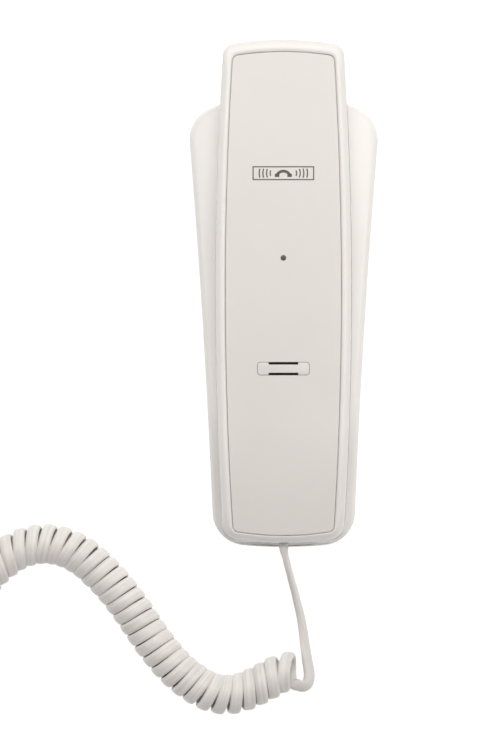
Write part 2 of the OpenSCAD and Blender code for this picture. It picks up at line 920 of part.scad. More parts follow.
module handset_plug() {
    color("#dfe3e6")
        in_handset_socket()
            plug(0.8);
}

module handset_plug_contacts() {
    color("gold")
        in_handset_socket()
            plug_contacts();
}

module free_plug() {
    color("#dfe3e6")
        at_free_end()
            plug(2);
}

module free_plug_contacts() {
    color("gold")
        at_free_end()
            plug_contacts();
}

module handset_screws() {
    color("silver")
        for (p = HANDSET_SCREWS)
            screw(p, FACE_Z + 0.05, 2.7, HANDSET_HEAD_H, 1.2, 9.5);
}

// ---- Handset cord ----

module cord_lead() {
    color("#eae6e3")
        tube(LEAD_ROUTE, lead_d / 2, 8);
}

module cord_curl() {
    color("#eae6e3")
        tube(CURL_ROUTE, curl_r, 12);
}

module cord_tail() {
    color("#eae6e3")
        tube(TAIL_ROUTE, lead_d / 2, 8);
}

base_cover();
bottom_plate();
rubber_feet();
base_screws();
ballast_plate();
base_circuit_board();
line_socket();
cord_socket();
base_socket_contacts();
hook_plunger();
hook_spring();
hook_switch();
hook_switch_wires();
handset_outer_shell();
face_plate();
handset_inner_shell();
ringer_grille();
indicator_lens();
indicator_diode();
badge();
handset_circuit_board();
board_parts();
key_mat();
ringer_switch();
ringer_slider();
receiver_capsule();
receiver_gasket();
receiver_wires();
microphone();
microphone_boot();
ringer_buzzer();
handset_socket();
handset_plug();
handset_plug_contacts();
handset_screws();
cord_lead();
cord_curl();
cord_tail();
free_plug();
free_plug_contacts();
for (k = KEYS)
    phone_key([k[1], k[2]]);
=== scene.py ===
"""Looks of the slimline wall phone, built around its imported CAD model."""

import json
import math

import bmesh
import bpy
import numpy as np
from mathutils import Matrix, Vector


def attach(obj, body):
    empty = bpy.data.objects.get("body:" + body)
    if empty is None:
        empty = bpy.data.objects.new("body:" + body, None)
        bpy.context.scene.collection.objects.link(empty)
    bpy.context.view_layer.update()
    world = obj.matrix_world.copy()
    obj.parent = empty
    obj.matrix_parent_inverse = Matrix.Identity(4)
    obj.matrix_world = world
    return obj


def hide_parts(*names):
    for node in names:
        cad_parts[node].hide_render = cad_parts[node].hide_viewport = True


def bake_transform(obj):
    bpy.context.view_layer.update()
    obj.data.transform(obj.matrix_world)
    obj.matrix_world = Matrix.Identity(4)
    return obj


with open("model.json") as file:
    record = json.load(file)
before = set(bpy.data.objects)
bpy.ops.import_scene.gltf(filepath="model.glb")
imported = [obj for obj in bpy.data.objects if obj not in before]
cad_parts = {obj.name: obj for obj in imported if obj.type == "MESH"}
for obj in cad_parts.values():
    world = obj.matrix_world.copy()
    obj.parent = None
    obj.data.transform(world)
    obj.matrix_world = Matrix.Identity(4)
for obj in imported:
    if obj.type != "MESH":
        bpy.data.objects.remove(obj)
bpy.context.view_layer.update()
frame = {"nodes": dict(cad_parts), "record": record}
nodes = frame["nodes"]

MM = 0.001
scene = bpy.context.scene


def linked(name, data):
    """A new object in the scene."""
    made = bpy.data.objects.new(name, data)
    scene.collection.objects.link(made)
    return made


# ------------------------------------------------ camera

CAMERA_AIM = Vector((-0.0140, -0.0332, 0.0300))
CAMERA_DISTANCE = 5.172
CAMERA_TURN = math.radians(0.5)
camera = linked("camera", bpy.data.cameras.new("camera"))
camera.data.lens = 600
camera.data.sensor_width = 36
camera.rotation_euler = (0, CAMERA_TURN, 0)
camera.location = CAMERA_AIM + CAMERA_DISTANCE * Vector((math.sin(CAMERA_TURN), 0, math.cos(CAMERA_TURN)))
camera.data.clip_end = 10
scene.camera = camera


# ------------------------------------------------ node materials


class Shader:
    """Builds one node material; a number or colour that doesn't vary goes on the shader's own socket."""

    def __init__(self, name, **sockets):
        self.material = bpy.data.materials.new(name)
        self.material.use_nodes = True
        self.tree = self.material.node_tree
        self.surface = self.tree.nodes["Principled BSDF"]
        for key, value in sockets.items():
            socket = self.surface.inputs[key.replace("_", " ")]
            if isinstance(value, tuple) and len(value) == 3 and socket.type == "RGBA":
                value = (*value, 1)
            socket.default_value = value

    def node(self, kind, inputs=(), **settings):
        made = self.tree.nodes.new(kind)
        for key, value in settings.items():
            setattr(made, key, value)
        for key, value in dict(inputs).items():
            if isinstance(value, bpy.types.NodeSocket):
                self.tree.links.new(value, made.inputs[key])
            else:
                made.inputs[key].default_value = value
        return made

    def link(self, socket, name):
        self.tree.links.new(socket, self.surface.inputs[name])

    def place(self, scale=(1, 1, 1)):
        """Position on the piece, in metres times scale."""
        at = self.node("ShaderNodeTexCoord").outputs["Object"]
        return self.node("ShaderNodeMapping", {"Vector": at, "Scale": scale}).outputs["Vector"]

    def noise(self, vector, scale, detail=3, roughness=0.5):
        return self.node(
            "ShaderNodeTexNoise",
            {"Vector": vector, "Scale": scale, "Detail": detail, "Roughness": roughness},
        ).outputs["Fac"]

    def span(self, value, low, high, to_low=0.0, to_high=1.0):
        return self.node(
            "ShaderNodeMapRange",
            {"Value": value, "From Min": low, "From Max": high, "To Min": to_low, "To Max": to_high},
        ).outputs["Result"]

    def ramp(self, value, *stops):
        made = self.node("ShaderNodeValToRGB", {"Fac": value})
        elements = made.color_ramp.elements
        while len(elements) < len(stops):
            elements.new(0.5)
        for element, (position, colour) in zip(elements, stops):
            element.position = position
            element.color = (*colour, 1)
        return made.outputs["Color"]

    def bump(self, height, distance, strength=1.0, over=None):
        inputs = {"Height": height, "Distance": distance, "Strength": strength}
        if over is not None:
            inputs["Normal"] = over
        return self.node("ShaderNodeBump", inputs).outputs["Normal"]


def scaled(colour, factor):
    return tuple(min(1.0, c * factor) for c in colour)


def plastic(name, colour, rough, grain, grain_size, coat=0.0, tint=0.02, mottle=0.04):
    """Moulded plastic: faint flow marks in colour and gloss, and a fine moulded grain."""
    s = Shader(
        name, Roughness=rough, IOR=1.46, Coat_Weight=coat, Coat_Roughness=0.12,
        Subsurface_Weight=0.04, Subsurface_Scale=0.002,
    )
    at = s.place()
    flow = s.noise(at, 22, 4)
    s.link(s.ramp(flow, (0.3, scaled(colour, 1 - tint)), (0.7, scaled(colour, 1 + tint / 2))), "Base Color")
    scuffs = s.noise(s.place((1, 0.12, 1)), 900, 3, 0.6)
    gloss = s.node(
        "ShaderNodeMath",
        {
            0: s.span(flow, 0.3, 0.7, rough - mottle, rough + mottle),
            1: s.span(scuffs, 0.45, 0.75, 0, mottle),
        },
        operation="ADD",
    ).outputs[0]
    s.link(gloss, "Roughness")
    fine = s.bump(s.noise(at, 1 / grain_size, 2), grain)
    s.link(s.bump(s.noise(at, 140, 2), grain * 2, 0.5, over=fine), "Normal")
    return s.material


def speckled(name, colour, other, rough, scale, metallic=0.0, bump=0.00003):
    s = Shader(name, Roughness=rough, Metallic=metallic)
    fleck = s.noise(s.place(), scale, 4, 0.6)
    s.link(s.ramp(fleck, (0.35, colour), (0.65, other)), "Base Color")
    s.link(s.span(fleck, 0.3, 0.7, rough - 0.06, rough + 0.08), "Roughness")
    s.link(s.bump(fleck, bump), "Normal")
    return s.material


def steel_material():
    s = Shader("steel", Metallic=1.0, Roughness=0.3, Anisotropic=0.4)
    drawn = s.noise(s.place((1, 1, 0.08)), 1500, 3)
    s.link(s.ramp(drawn, (0.3, (0.50, 0.51, 0.53)), (0.7, (0.68, 0.68, 0.67))), "Base Color")
    s.link(s.span(drawn, 0.3, 0.7, 0.22, 0.42), "Roughness")
    s.link(s.bump(drawn, 0.00001), "Normal")
    return s.material


def board_material():
    """Solder mask over copper tracks, which show as lighter paths."""
    s = Shader("circuit_board", Roughness=0.35, IOR=1.5)
    tracks = s.node(
        "ShaderNodeTexVoronoi",
        {"Vector": s.place(), "Scale": 260},
        feature="DISTANCE_TO_EDGE",
        distance="CHEBYCHEV",
    ).outputs["Distance"]
    s.link(s.ramp(tracks, (0.06, (0.045, 0.20, 0.075)), (0.10, (0.012, 0.085, 0.03))), "Base Color")
    s.link(s.bump(s.span(tracks, 0.05, 0.1, 1, 0), 0.00003), "Normal")
    return s.material


def lens_material():
    s = Shader("smoked_lens", Roughness=0.16, IOR=1.49, Coat_Weight=0.3, Transmission_Weight=0.15)
    haze = s.noise(s.place(), 700, 3)
    s.link(s.ramp(haze, (0.3, (0.105, 0.095, 0.088)), (0.7, (0.15, 0.137, 0.128))), "Base Color")
    s.link(s.span(haze, 0.3, 0.7, 0.12, 0.2), "Roughness")
    return s.material


def clear_material():
    s = Shader("clear_plastic", IOR=1.58, Transmission_Weight=0.9, Roughness=0.08)
    flow = s.noise(s.place(), 240, 3)
    s.link(s.ramp(flow, (0.3, (0.90, 0.93, 0.95)), (0.7, (0.97, 0.98, 0.99))), "Base Color")
    s.link(s.span(flow, 0.3, 0.7, 0.05, 0.14), "Roughness")
    s.link(s.bump(flow, 0.00004), "Normal")
    return s.material


def cord_material():
    """Satin vinyl with fine lines along it, from drawing through a die, bumped as ridges; the same lines
    darken the colour in streaks, painted shade between the ridges.
    """
    s = Shader("cord_vinyl", IOR=1.5, Sheen_Weight=0.08, Subsurface_Weight=0.06, Subsurface_Scale=0.002)
    around = s.node("ShaderNodeUVMap", uv_map="cord").outputs["UV"]
    drawn = s.node("ShaderNodeMapping", {"Vector": around, "Scale": (900, 14, 1)}).outputs["Vector"]
    lines = s.noise(drawn, 1, 3)
    # Painted shade: the colour is darker along the streaks, standing in for the shade between the fine
    # ridges.
    s.link(s.ramp(lines, (0.3, (0.69, 0.66, 0.63)), (0.62, (0.805, 0.775, 0.75))), "Base Color")
    s.link(s.span(lines, 0.3, 0.7, 0.34, 0.5), "Roughness")
    s.link(s.bump(s.noise(s.place(), 700, 2), 0.00001, over=s.bump(lines, 0.00007)), "Normal")
    return s.material


def floor_material():
    """Dark grey floor with a white glow of its own, so that it shows plain white."""
    s = Shader("floor", Roughness=0.9, Emission_Color=STUDIO_WHITE, Emission_Strength=0.95)
    grey = s.noise(s.place(), 3, 2)
    s.link(s.ramp(grey, (0.3, (0.14, 0.139, 0.138)), (0.7, (0.16, 0.159, 0.158))), "Base Color")
    return s.material


STUDIO_WHITE = (1.0, 0.995, 0.985)
# By slot name, without the number that Blender adds to a name already in use
MATERIALS = {
    made.name.split(".")[0]: made
    for made in (
        plastic("handset_abs", (0.855, 0.829, 0.803), 0.30, 0.000004, 0.0009, coat=0.15),
        plastic("plate_abs", (0.775, 0.742, 0.712), 0.42, 0.000008, 0.0006),
        plastic("base_abs", (0.915, 0.890, 0.865), 0.36, 0.000008, 0.0008, coat=0.05),
        plastic("key_abs", (0.87, 0.85, 0.825), 0.5, 0.00001, 0.0004),
        plastic("bottom_abs", (0.80, 0.775, 0.745), 0.62, 0.00004, 0.0007),
        speckled("dark_plastic", (0.018, 0.018, 0.02), (0.032, 0.032, 0.035), 0.45, 700),
        speckled("rubber", (0.02, 0.02, 0.021), (0.045, 0.044, 0.043), 0.8, 500, bump=0.00006),
        speckled("silicone", (0.55, 0.53, 0.5), (0.64, 0.62, 0.59), 0.55, 160),
        speckled("capsule", (0.30, 0.31, 0.32), (0.42, 0.43, 0.44), 0.35, 240, metallic=0.9),
        speckled("gold", (0.80, 0.55, 0.20), (0.88, 0.66, 0.30), 0.22, 900, metallic=1),
        speckled("wire", (0.42, 0.02, 0.02), (0.5, 0.04, 0.035), 0.4, 300),
        speckled("diode", (0.30, 0.015, 0.012), (0.42, 0.03, 0.02), 0.12, 220),
        speckled("badge_ink", (0.098, 0.086, 0.078), (0.135, 0.12, 0.11), 0.55, 2600, bump=0.00001),
        steel_material(),
        board_material(),
        lens_material(),
        clear_material(),
        cord_material(),
    )
}


# ------------------------------------------------ shapes, in millimetres

HANDSET_W, BASE_W = 56.4, 78.5
PARTING_Z, FOOT_H = 36.0, 1.5
Y_EAR, Y_END, Y_MOUTH = 105.2, -105.2, -103.7
RIM_W, PLATE_DROP, PLATE_T = 4.1, 0.3, 1.5
GRILLE_Y, LENS_Y, BADGE_Y, EARPIECE_Y, MIC_Y, SLIDER_Y, HOOK_Y = -31.4, 14.5, 49.6, 63, -82, -53.5, 30
SOCKET_Z = 29.5


def handset_half(y):
    return HANDSET_W / 2 - (y - 1) ** 2 / 3200


def plate_half(y):
    return handset_half(y) - RIM_W - 0.15


def base_half(y):
    taper = np.maximum(0, 64 - y)
    hollow = 0.85 * (1 - ((y + 13) / 77) ** 2)
    return BASE_W / 2 - taper * 0.0617 - np.minimum(hollow, np.where(y > 0, taper, 1))


def face_z(y):
    return 51 - (y - 4) ** 2 / 1800 - np.minimum(0, y + 55) ** 2 / 600


def ease(t):
    t = np.clip(t, 0, 1)
    return t * t * (3 - 2 * t)


def rim_z(y):
    return 34 - np.maximum(0, y - 20) ** 2 / 500 - 13.1 * ease((-46 - y) / 56)


def softened(profile, reach):
    """Height along a straight-line profile, with its corners rounded over reach on either side."""
    ys, zs = zip(*profile)
    offsets = np.linspace(-reach, reach, 11)
    return lambda y: np.mean([np.interp(y + o, ys, zs) for o in offsets], axis=0)


under_z = softened(
    [(-120, 21.5), (-100.8, 21.5), (-99.5, 18), (-72, 18), (-62, 29), (38, 29), (46, 17.3), (79.5, 17.3),
     (82, 24), (120, 29)],
    1.6,
)
cradle_z = softened(
    [(-120, 20.9), (-101.6, 20.9), (-100.3, 17.6), (-71.3, 17.6), (-61.3, 24.5), (37.3, 24.5), (45.3, 16.9),
     (80.4, 16.9), (82.7, 23.4), (120, 27)],
    0.8,
)


def fillet(half, end, way):
    """Where a corner's arc meets the side and the end: (y on the side, x on the end, centre)."""
    y_end, arc, r = end

    def side(y):
        slope = (half(y + 0.01) - half(y - 0.01)) / 0.02
        n = np.array([-1, slope]) / math.hypot(1, slope)
        return np.array([half(y), y]) + r * n

    def across(x):
        n = np.array([-x / arc, -way]) / math.hypot(1, x / arc)
        return np.array([x, y_end - way * x * x / (2 * arc)]) + r * n

    w = float(half(y_end))
    guess = np.array([y_end - way * (r + w * w / (2 * arc)), w - r])
    for _ in range(30):
        gap = side(guess[0]) - across(guess[1])
        jacobian = np.column_stack(
            [
                (side(guess[0] + 0.01) - side(guess[0])) * 100,
                (across(guess[1]) - across(guess[1] + 0.01)) * 100,
            ]
        )
        guess = guess - np.linalg.solve(jacobian, gap)
    return guess[0], guess[1], side(guess[0])


SIDES, ENDS, CORNERS = 150, 22, 12


def loop(half, lower, upper):
    """Closed outline from its lower middle, up the +X side and back.

    An end is (y, arc radius, corner radius).
    """
    points = []
    y0, x0, c0 = fillet(half, lower, -1)
    y1, x1, c1 = fillet(half, upper, 1)

    def turn(centre, start, finish):
        a, b = (math.atan2(*(p - centre)[::-1]) for p in (start, finish))
        r = np.hypot(*(start - centre))
        between = np.linspace(a, b, CORNERS + 1)[1:-1]
        return [centre + r * np.array([math.cos(t), math.sin(t)]) for t in between]

    for x in np.linspace(0, x0, ENDS):
        points.append(np.array([x, lower[0] + x * x / (2 * lower[1])]))
    points += turn(c0, points[-1], np.array([half(y0), y0]))
    points += [np.array([half(y), y]) for y in np.linspace(y0, y1, SIDES)]
    top = [np.array([x, upper[0] - x * x / (2 * upper[1])]) for x in np.linspace(x1, 0, ENDS)]
    points += turn(c1, points[-1], top[0]) + top
    right = np.array(points)
    left = right[-2:0:-1] * [-1, 1]
    return np.vstack([right, left])


def outward(points):
    along = np.roll(points, -1, 0) - np.roll(points, 1, 0)
    return np.column_stack([along[:, 1], -along[:, 0]]) / np.hypot(*along.T)[:, None]


def grown(points, by):
    return points + outward(points) * by


HANDSET = loop(handset_half, (Y_MOUTH, 123, 6.5), (Y_EAR, 123, 5))
PLATE = loop(plate_half, (Y_MOUTH + RIM_W - 1, 123, 2.3), (Y_EAR - RIM_W - 1.1, 123, 2.6))
BASE = loop(base_half, (Y_END - 0.55, 190, 14), (84.2, 64, 14))


class Solid:
    """Vertices and faces of a closed solid made of rings that share one outline's order."""

    def __init__(self):
        self.points, self.faces = [], []

    def ring(self, xy, z):
        first = len(self.points)
        z = np.broadcast_to(z, len(xy))
        self.points += [(x, y, h) for (x, y), h in zip(xy, z)]
        return list(range(first, first + len(xy)))

    def bridge(self, a, b):
        n = len(a)
        self.faces += [(a[i], a[(i + 1) % n], b[(i + 1) % n], b[i]) for i in range(n)]
        return b

    def rings(self, made):
        for a, b in zip(made, made[1:]):
            self.bridge(a, b)
        return made[-1]

    def cap(self, ring, xy, height, columns=None, up=True):
        """Closes a ring with rows from its +X side to its -X side; columns(y, x) gives a row's x values."""
        n = len(ring)
        middle = n // 2
        columns = columns or (lambda y, x: np.linspace(x, -x, 17))
        rows = [[ring[0]]]
        for i in range(1, middle):
            x, y = xy[i]
            xs = columns(y, x)[1:-1]
            zs = height(xs, np.full(len(xs), y))
            first = len(self.points)
            self.points += [(a, y, z) for a, z in zip(xs, zs)]
            rows.append([ring[i], *range(first, first + len(xs)), ring[n - i]])
        rows.append([ring[middle]])
        made = []
        for a, b in zip(rows, rows[1:]):
            if len(a) == 1:
                made += [(a[0], b[k], b[k + 1]) for k in range(len(b) - 1)]
            elif len(b) == 1:
                made += [(a[k], b[0], a[k + 1]) for k in range(len(a) - 1)]
            else:
                made += [(a[k], b[k], b[k + 1], a[k + 1]) for k in range(len(a) - 1)]
        self.faces += made if up else [f[::-1] for f in made]


def finish_mesh(mesh, sharp=32):
    """Merges doubled points, faces all sides outwards and shades smooth up to a sharp angle."""
    bm = bmesh.new()
    bm.from_mesh(mesh)
    bmesh.ops.remove_doubles(bm, verts=bm.verts, dist=2e-6)
    bmesh.ops.dissolve_degenerate(bm, edges=bm.edges, dist=1e-6)
    bmesh.ops.recalc_face_normals(bm, faces=bm.faces)
    bm.to_mesh(mesh)
    bm.free()
    mesh.shade_smooth()
    mesh.set_sharp_from_angle(angle=math.radians(sharp))


def piece(name, points, faces, material=None, sharp=32):
    """A new object from points in millimetres."""
    mesh = bpy.data.meshes.new(name)
    mesh.from_pydata([tuple(c * MM for c in p) for p in points], [], [tuple(f) for f in faces])
    mesh.validate()
    finish_mesh(mesh, sharp)
    if material:
        mesh.materials.append(material)
    return linked(name, mesh)


def baked(obj):
    """Applies an object's modifiers."""
    evaluated = obj.evaluated_get(bpy.context.evaluated_depsgraph_get())
    mesh = bpy.data.meshes.new_from_object(evaluated)
    obj.modifiers.clear()
    obj.data = mesh
    return obj


def rounded_off(obj, width, segments):
    """Rounds an object's sharp edges."""
    m = obj.modifiers.new("round", "BEVEL")
    m.width, m.segments, m.limit_method = width * MM, segments, "ANGLE"
    m.angle_limit = math.radians(40)
    baked(obj)
    finish_mesh(obj.data, 50)
    return obj


def joined(name, parts):
    """One object with the meshes of all parts, which are removed."""
    bm = bmesh.new()
    for p in parts:
        p.data.transform(p.matrix_world)
        bm.from_mesh(p.data)
    mesh = bpy.data.meshes.new(name)
    bm.to_mesh(mesh)
    bm.free()
    for m in parts[0].data.materials:
        mesh.materials.append(m)
    for p in parts:
        bpy.data.objects.remove(p)
    return linked(name, mesh)


def carved(obj, cutters, operation="DIFFERENCE", sharp=32):
    """Cuts the cutters, which stay clear of each other, out of an object."""
    cutter = joined("cutter", cutters)
    m = obj.modifiers.new("cut", "BOOLEAN")
    m.operation, m.solver, m.object = operation, "EXACT", cutter
    baked(obj)
    bpy.data.objects.remove(cutter)
    finish_mesh(obj.data, sharp)
    return obj


def box_outline(w, l, r, steps=6, at=(0, 0)):
    """Rounded rectangle about a point."""
    points = []
    for cx, cy, start in ((1, -1, -90), (1, 1, 0), (-1, 1, 90), (-1, -1, 180)):
        for t in np.radians(np.linspace(start, start + 90, steps)):
            points.append(
                (at[0] + cx * (w / 2 - r) + r * math.cos(t), at[1] + cy * (l / 2 - r) + r * math.sin(t))
            )
    return points


def round_outline(r, steps=32, at=(0, 0)):
    return [
        (at[0] + r * math.cos(t), at[1] + r * math.sin(t))
        for t in np.linspace(0, 2 * math.pi, steps, endpoint=False)
    ]


def tube_faces(n, rings=2):
    """Sides between neighbouring rings of n points each."""
    return [
        (i * n + k, i * n + (k + 1) % n, (i + 1) * n + (k + 1) % n, (i + 1) * n + k)
        for i in range(rings - 1)
        for k in range(n)
    ]


def prism(name, outline, z0, z1):
    """Upright prism; z0 and z1 are heights or functions of (x, y)."""
    n = len(outline)

    def level(z, x, y):
        return z(x, y) if callable(z) else z

    low = [(x, y, level(z0, x, y)) for x, y in outline]
    high = [(x, y, level(z1, x, y)) for x, y in outline]
    return piece(name, low + high, [tuple(range(n))[::-1], tuple(range(n, 2 * n)), *tube_faces(n)])


def hole(outline, z0, z1):
    """A prism that is cut out of another piece."""
    return prism("hole", outline, z0, z1)


def dress(obj, body, slot, *replaces):
    """Puts a finished piece on its body, hides the CAD parts it replaces and gives it the material named by
    slot.
    """
    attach(obj, body)
    if replaces:
        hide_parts(*replaces)
    obj.data.materials.clear()
    obj.data.materials.append(MATERIALS[slot])
    return obj


# ------------------------------------------------ handset cord

CORD_WIDE, CORD_THICK = 5.1, 2.5
CURL_R = 7.15
CURL_START, CURL_STEPS = -45, 28
PITCH = 5.4
# A slack curl's turns lean, and follow its bends only in part, until it straightens out
SLACK_LEAN, SLACK_BEND = math.radians(7.8), 0.22
SLACK_FROM, SLACK_SPAN = 165, 25
LEAD_ROUTE = [
    (0, -104.9, 29.5), (0.2, -107.2, 29.4), (0.8, -110, 28.1), (1.6, -113.5, 25.3), (2.5, -117, 21.6),
    (3.5, -121, 17.2), (4.6, -125, 13), (5.5, -129, 9.4), (6.5, -133, 6.5), (7.3, -137, 4.4),
    (8, -141.5, 3), (8.6, -146, 2.4), (9.2, -150, 2.2), (9.8, -154, 2.2), (10.4, -157.5, 2.3),
    (10.5, -160.5, 2.5), (9.7, -163.2, 2.8), (7.8, -164.2, 3.1), (5.8, -163.6, 3.4),
]
CURL_PLAN = [
    (3.3, -157.9), (-0.8, -158.4), (-6.2, -161.2), (-12.5, -164.4), (-18.8, -166.8), (-25.1, -167.5),
    (-31.4, -166.1), (-37, -163), (-42.2, -159.2), (-46.8, -154.8), (-51, -149.9), (-54.8, -145),
    (-58.2, -140), (-61.5, -135), (-65, -130), (-68.8, -125), (-73, -120), (-77.4, -115.6),
    (-82.2, -111.2), (-87.6, -107.8), (-93.6, -105.4), (-100, -104.6), (-106.5, -105.5), (-112.7, -108),
    (-118, -111.8), (-122.4, -115.8), (-126.2, -120.4), (-129.4, -125.8), (-131.8, -132), (-133, -139),
    (-133.4, -147), (-133.4, -155), (-133.4, -163), (-133.4, -171), (-133.4, -179), (-133.4, -187),
]
TAIL_ROUTE = [
    (-138.6, -199.8, 1.8),
    (-143, -202, 1.8), (-148, -202, 1.8), (-152.4, -199.8, 1.8), (-155.4, -196, 1.8), (-156.6, -191, 1.8),
    (-157, -185, 1.8), (-157, -178, 1.8), (-157, -171, 1.8), (-157, -164, 1.8), (-157, -157, 2),
    (-157, -150, 2.8), (-157, -145, 3.3), (-157, -140.1, 3.3),
]
CURL_Z = 8.4
ROUTE_SPACING = 1.2
# The lead starts nearly on edge and turns flat, then lies as the turns do where it meets the curl
LEAD_ROLL, ROLL_FADE, TURN_IN = 78, 85, 4
# It swells into its boot over the first few millimetres
FLARE_LENGTH, FLARE_WIDE, FLARE_THICK = 5, 0.22, 0.5


def spline(points, spacing):
    """Smooth line through points, resampled evenly."""
    p = np.array(points, float)
    p = np.vstack([2 * p[0] - p[1], p, 2 * p[-1] - p[-2]])
    made = []
    for a, b, c, d in zip(p, p[1:], p[2:], p[3:]):
        for t in np.linspace(0, 1, 24, endpoint=False):
            square = (2 * a - 5 * b + 4 * c - d) * t * t
            cube = (3 * b - a - 3 * c + d) * t**3
            made.append(0.5 * (2 * b + (c - a) * t + square + cube))
    made.append(p[-2])
    return even(np.array(made), spacing)


def lengths(line):
    return np.concatenate([[0], np.cumsum(np.linalg.norm(np.diff(line, axis=0), axis=1))])


def even(line, spacing):
    s = lengths(line)
    n = max(2, int(round(s[-1] / spacing)) + 1)
    at = np.linspace(0, s[-1], n)
    return np.column_stack([np.interp(at, s, line[:, k]) for k in range(line.shape[1])])


def units(v):
    return v / np.maximum(np.linalg.norm(v, axis=-1, keepdims=True), 1e-9)


def curl_line():
    """Points along the curl's turns, and its axis direction at each."""
    axis = spline(CURL_PLAN, 0.5)
    axis = np.column_stack([axis, np.full(len(axis), CURL_Z)])
    s = lengths(axis)
    turns = round(s[-1] / PITCH) + 0.25
    count = int(turns * CURL_STEPS)
    at = np.linspace(0, s[-1], count + 1)
    centre = np.column_stack([np.interp(at, s, axis[:, k]) for k in range(3)])
    ahead = units(np.gradient(centre, axis=0))
    heading = np.unwrap(np.arctan2(ahead[:, 1], ahead[:, 0])) % (2 * math.pi) - math.pi
    slack = 1 - ease((at - SLACK_FROM) / SLACK_SPAN)
    facing = math.pi + heading - slack * (SLACK_LEAN + SLACK_BEND * heading)
    along = np.column_stack([np.cos(facing), np.sin(facing), np.zeros(count + 1)])
    up = np.tile([0.0, 0.0, 1.0], (count + 1, 1))
    side = np.cross(up, along)
    angle = np.radians(CURL_START - 360 * turns * np.linspace(0, 1, count + 1))
    radial = np.cos(angle)[:, None] * side + np.sin(angle)[:, None] * up
    return centre + CURL_R * radial, along


def cord_line():
    """The whole cord's centre line, with its wide direction and its tangent at each point."""
    curl, along = curl_line()
    lead = spline([*LEAD_ROUTE, *curl[[0, 2, 4]]], ROUTE_SPACING)
    lead = lead[: np.argmin(np.linalg.norm(lead - curl[0], axis=1)) - 1]
    tail = spline([*curl[[-5, -3, -1]], *TAIL_ROUTE], ROUTE_SPACING)
    tail = tail[np.argmin(np.linalg.norm(tail - curl[-1], axis=1)) + 2 :]
    line = np.vstack([lead, curl, tail])
    first, last = len(lead), len(lead) + len(curl) - 1
    tangent = units(np.gradient(line, axis=0))
    level = units(np.cross(tangent, [0.0, 0.0, 1.0]))
    upright = np.cross(level, tangent)
    s = lengths(line)
    roll = np.radians(LEAD_ROLL) * (1 - np.clip(s / ROLL_FADE, 0, 1) ** 2)
    wide = np.cos(roll)[:, None] * level + np.sin(roll)[:, None] * upright
    axis = np.zeros_like(line)
    axis[first : last + 1] = along
    axis[:first], axis[last + 1 :] = along[0], along[-1]
    axis = units(axis - np.sum(axis * tangent, axis=1)[:, None] * tangent)
    share = np.zeros(len(line))
    share[first : last + 1] = 1
    share[:first] = ease(1 - (s[first] - s[:first]) / TURN_IN)
    share[last + 1 :] = ease(1 - (s[last + 1 :] - s[last]) / TURN_IN)
    for end in (first, last):
        half = slice(0, first) if end == first else slice(last + 1, len(line))
        if np.dot(axis[end], wide[end]) < 0:
            wide[half] *= -1
    wide = share[:, None] * axis + (1 - share[:, None]) * wide
    wide = units(wide - np.sum(wide * tangent, axis=1)[:, None] * tangent)
    return line, wide, tangent


def flat_section(steps=22, power=0.8):
    """Section of the flat cord as (across, through), each from -1 to 1: an oval with full shoulders."""
    turn = [(math.cos(t), math.sin(t)) for t in np.linspace(0, 2 * math.pi, steps, endpoint=False)]
    return np.array([[math.copysign(abs(c) ** power, c) for c in pair] for pair in turn])


def make_cord():
    line, wide, tangent = cord_line()
    through = np.cross(tangent, wide)
    section = flat_section()
    n, rings = len(section), len(line)
    s = lengths(line)
    flare = 1 - ease(s / FLARE_LENGTH)
    across = CORD_WIDE / 2 * (1 + FLARE_WIDE * flare)
    thick = CORD_THICK / 2 * (1 + FLARE_THICK * flare)
    points = (
        line[:, None, :]
        + (across[:, None] * section[None, :, 0])[..., None] * wide[:, None, :]
        + (thick[:, None] * section[None, :, 1])[..., None] * through[:, None, :]
    ).reshape(-1, 3)
    points[:, 2] = np.maximum(points[:, 2], 0.02)
    around = np.concatenate([[0], np.cumsum(np.hypot(*np.diff(section * [2.5, 1.2], axis=0).T))])
    mesh = bpy.data.meshes.new("cord")
    ends = [tuple(range(n))[::-1], tuple(range((rings - 1) * n, rings * n))]
    mesh.from_pydata([tuple(p * MM) for p in points], [], tube_faces(n, rings) + ends)
    layer = mesh.uv_layers.new(name="cord")
    for polygon in mesh.polygons:
        for corner in polygon.loop_indices:
            v = mesh.loops[corner].vertex_index
            layer.data[corner].uv = (around[v % n] * MM, s[v // n] * MM)
    mesh.shade_smooth()
    bm = bmesh.new()
    bm.from_mesh(mesh)
    bmesh.ops.recalc_face_normals(bm, faces=bm.faces)
    bm.to_mesh(mesh)
    bm.free()
    mesh.materials.append(MATERIALS["cord_vinyl"])
    return linked("handset_cord", mesh), line


cord, cord_path = make_cord()
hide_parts("cord_lead", "cord_curl", "cord_tail")
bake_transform(cord)


# ------------------------------------------------ handset shells and face

# Section of the rim: share of the way from the outline to the plate, and height below its crest
# along the sides, round the mouth end and round the ear end
RIM = [
    (0.01, -6.0, -3.7, -6.0), (0.016, -4.0, -3.55, -4.0), (0.026, -2.75, -3.4, -2.6),
    (0.045, -1.95, -3.2, -1.7), (0.08, -1.45, -2.9, -1.1), (0.14, -1.2, -2.5, -0.65),
    (0.24, -0.93, -1.95, -0.34), (0.36, -0.61, -1.42, -0.18), (0.48, -0.3, -0.97, -0.09),
    (0.57, -0.11, -0.68, -0.05), (0.65, -0.01, -0.46, -0.03), (0.74, 0.0, -0.28, -0.05),
    (0.83, -0.1, -0.17, -0.14), (0.92, -0.34, -0.2, -0.34), (0.97, -0.6, -0.45, -0.6),
    (1.0, -0.95, -0.8, -0.95),
]
CREST = 0.3
MOUTH_RIM, EAR_RIM = (-91, 9), (92, 8)
SHELL_T = 2.0
SEAM = 0.35


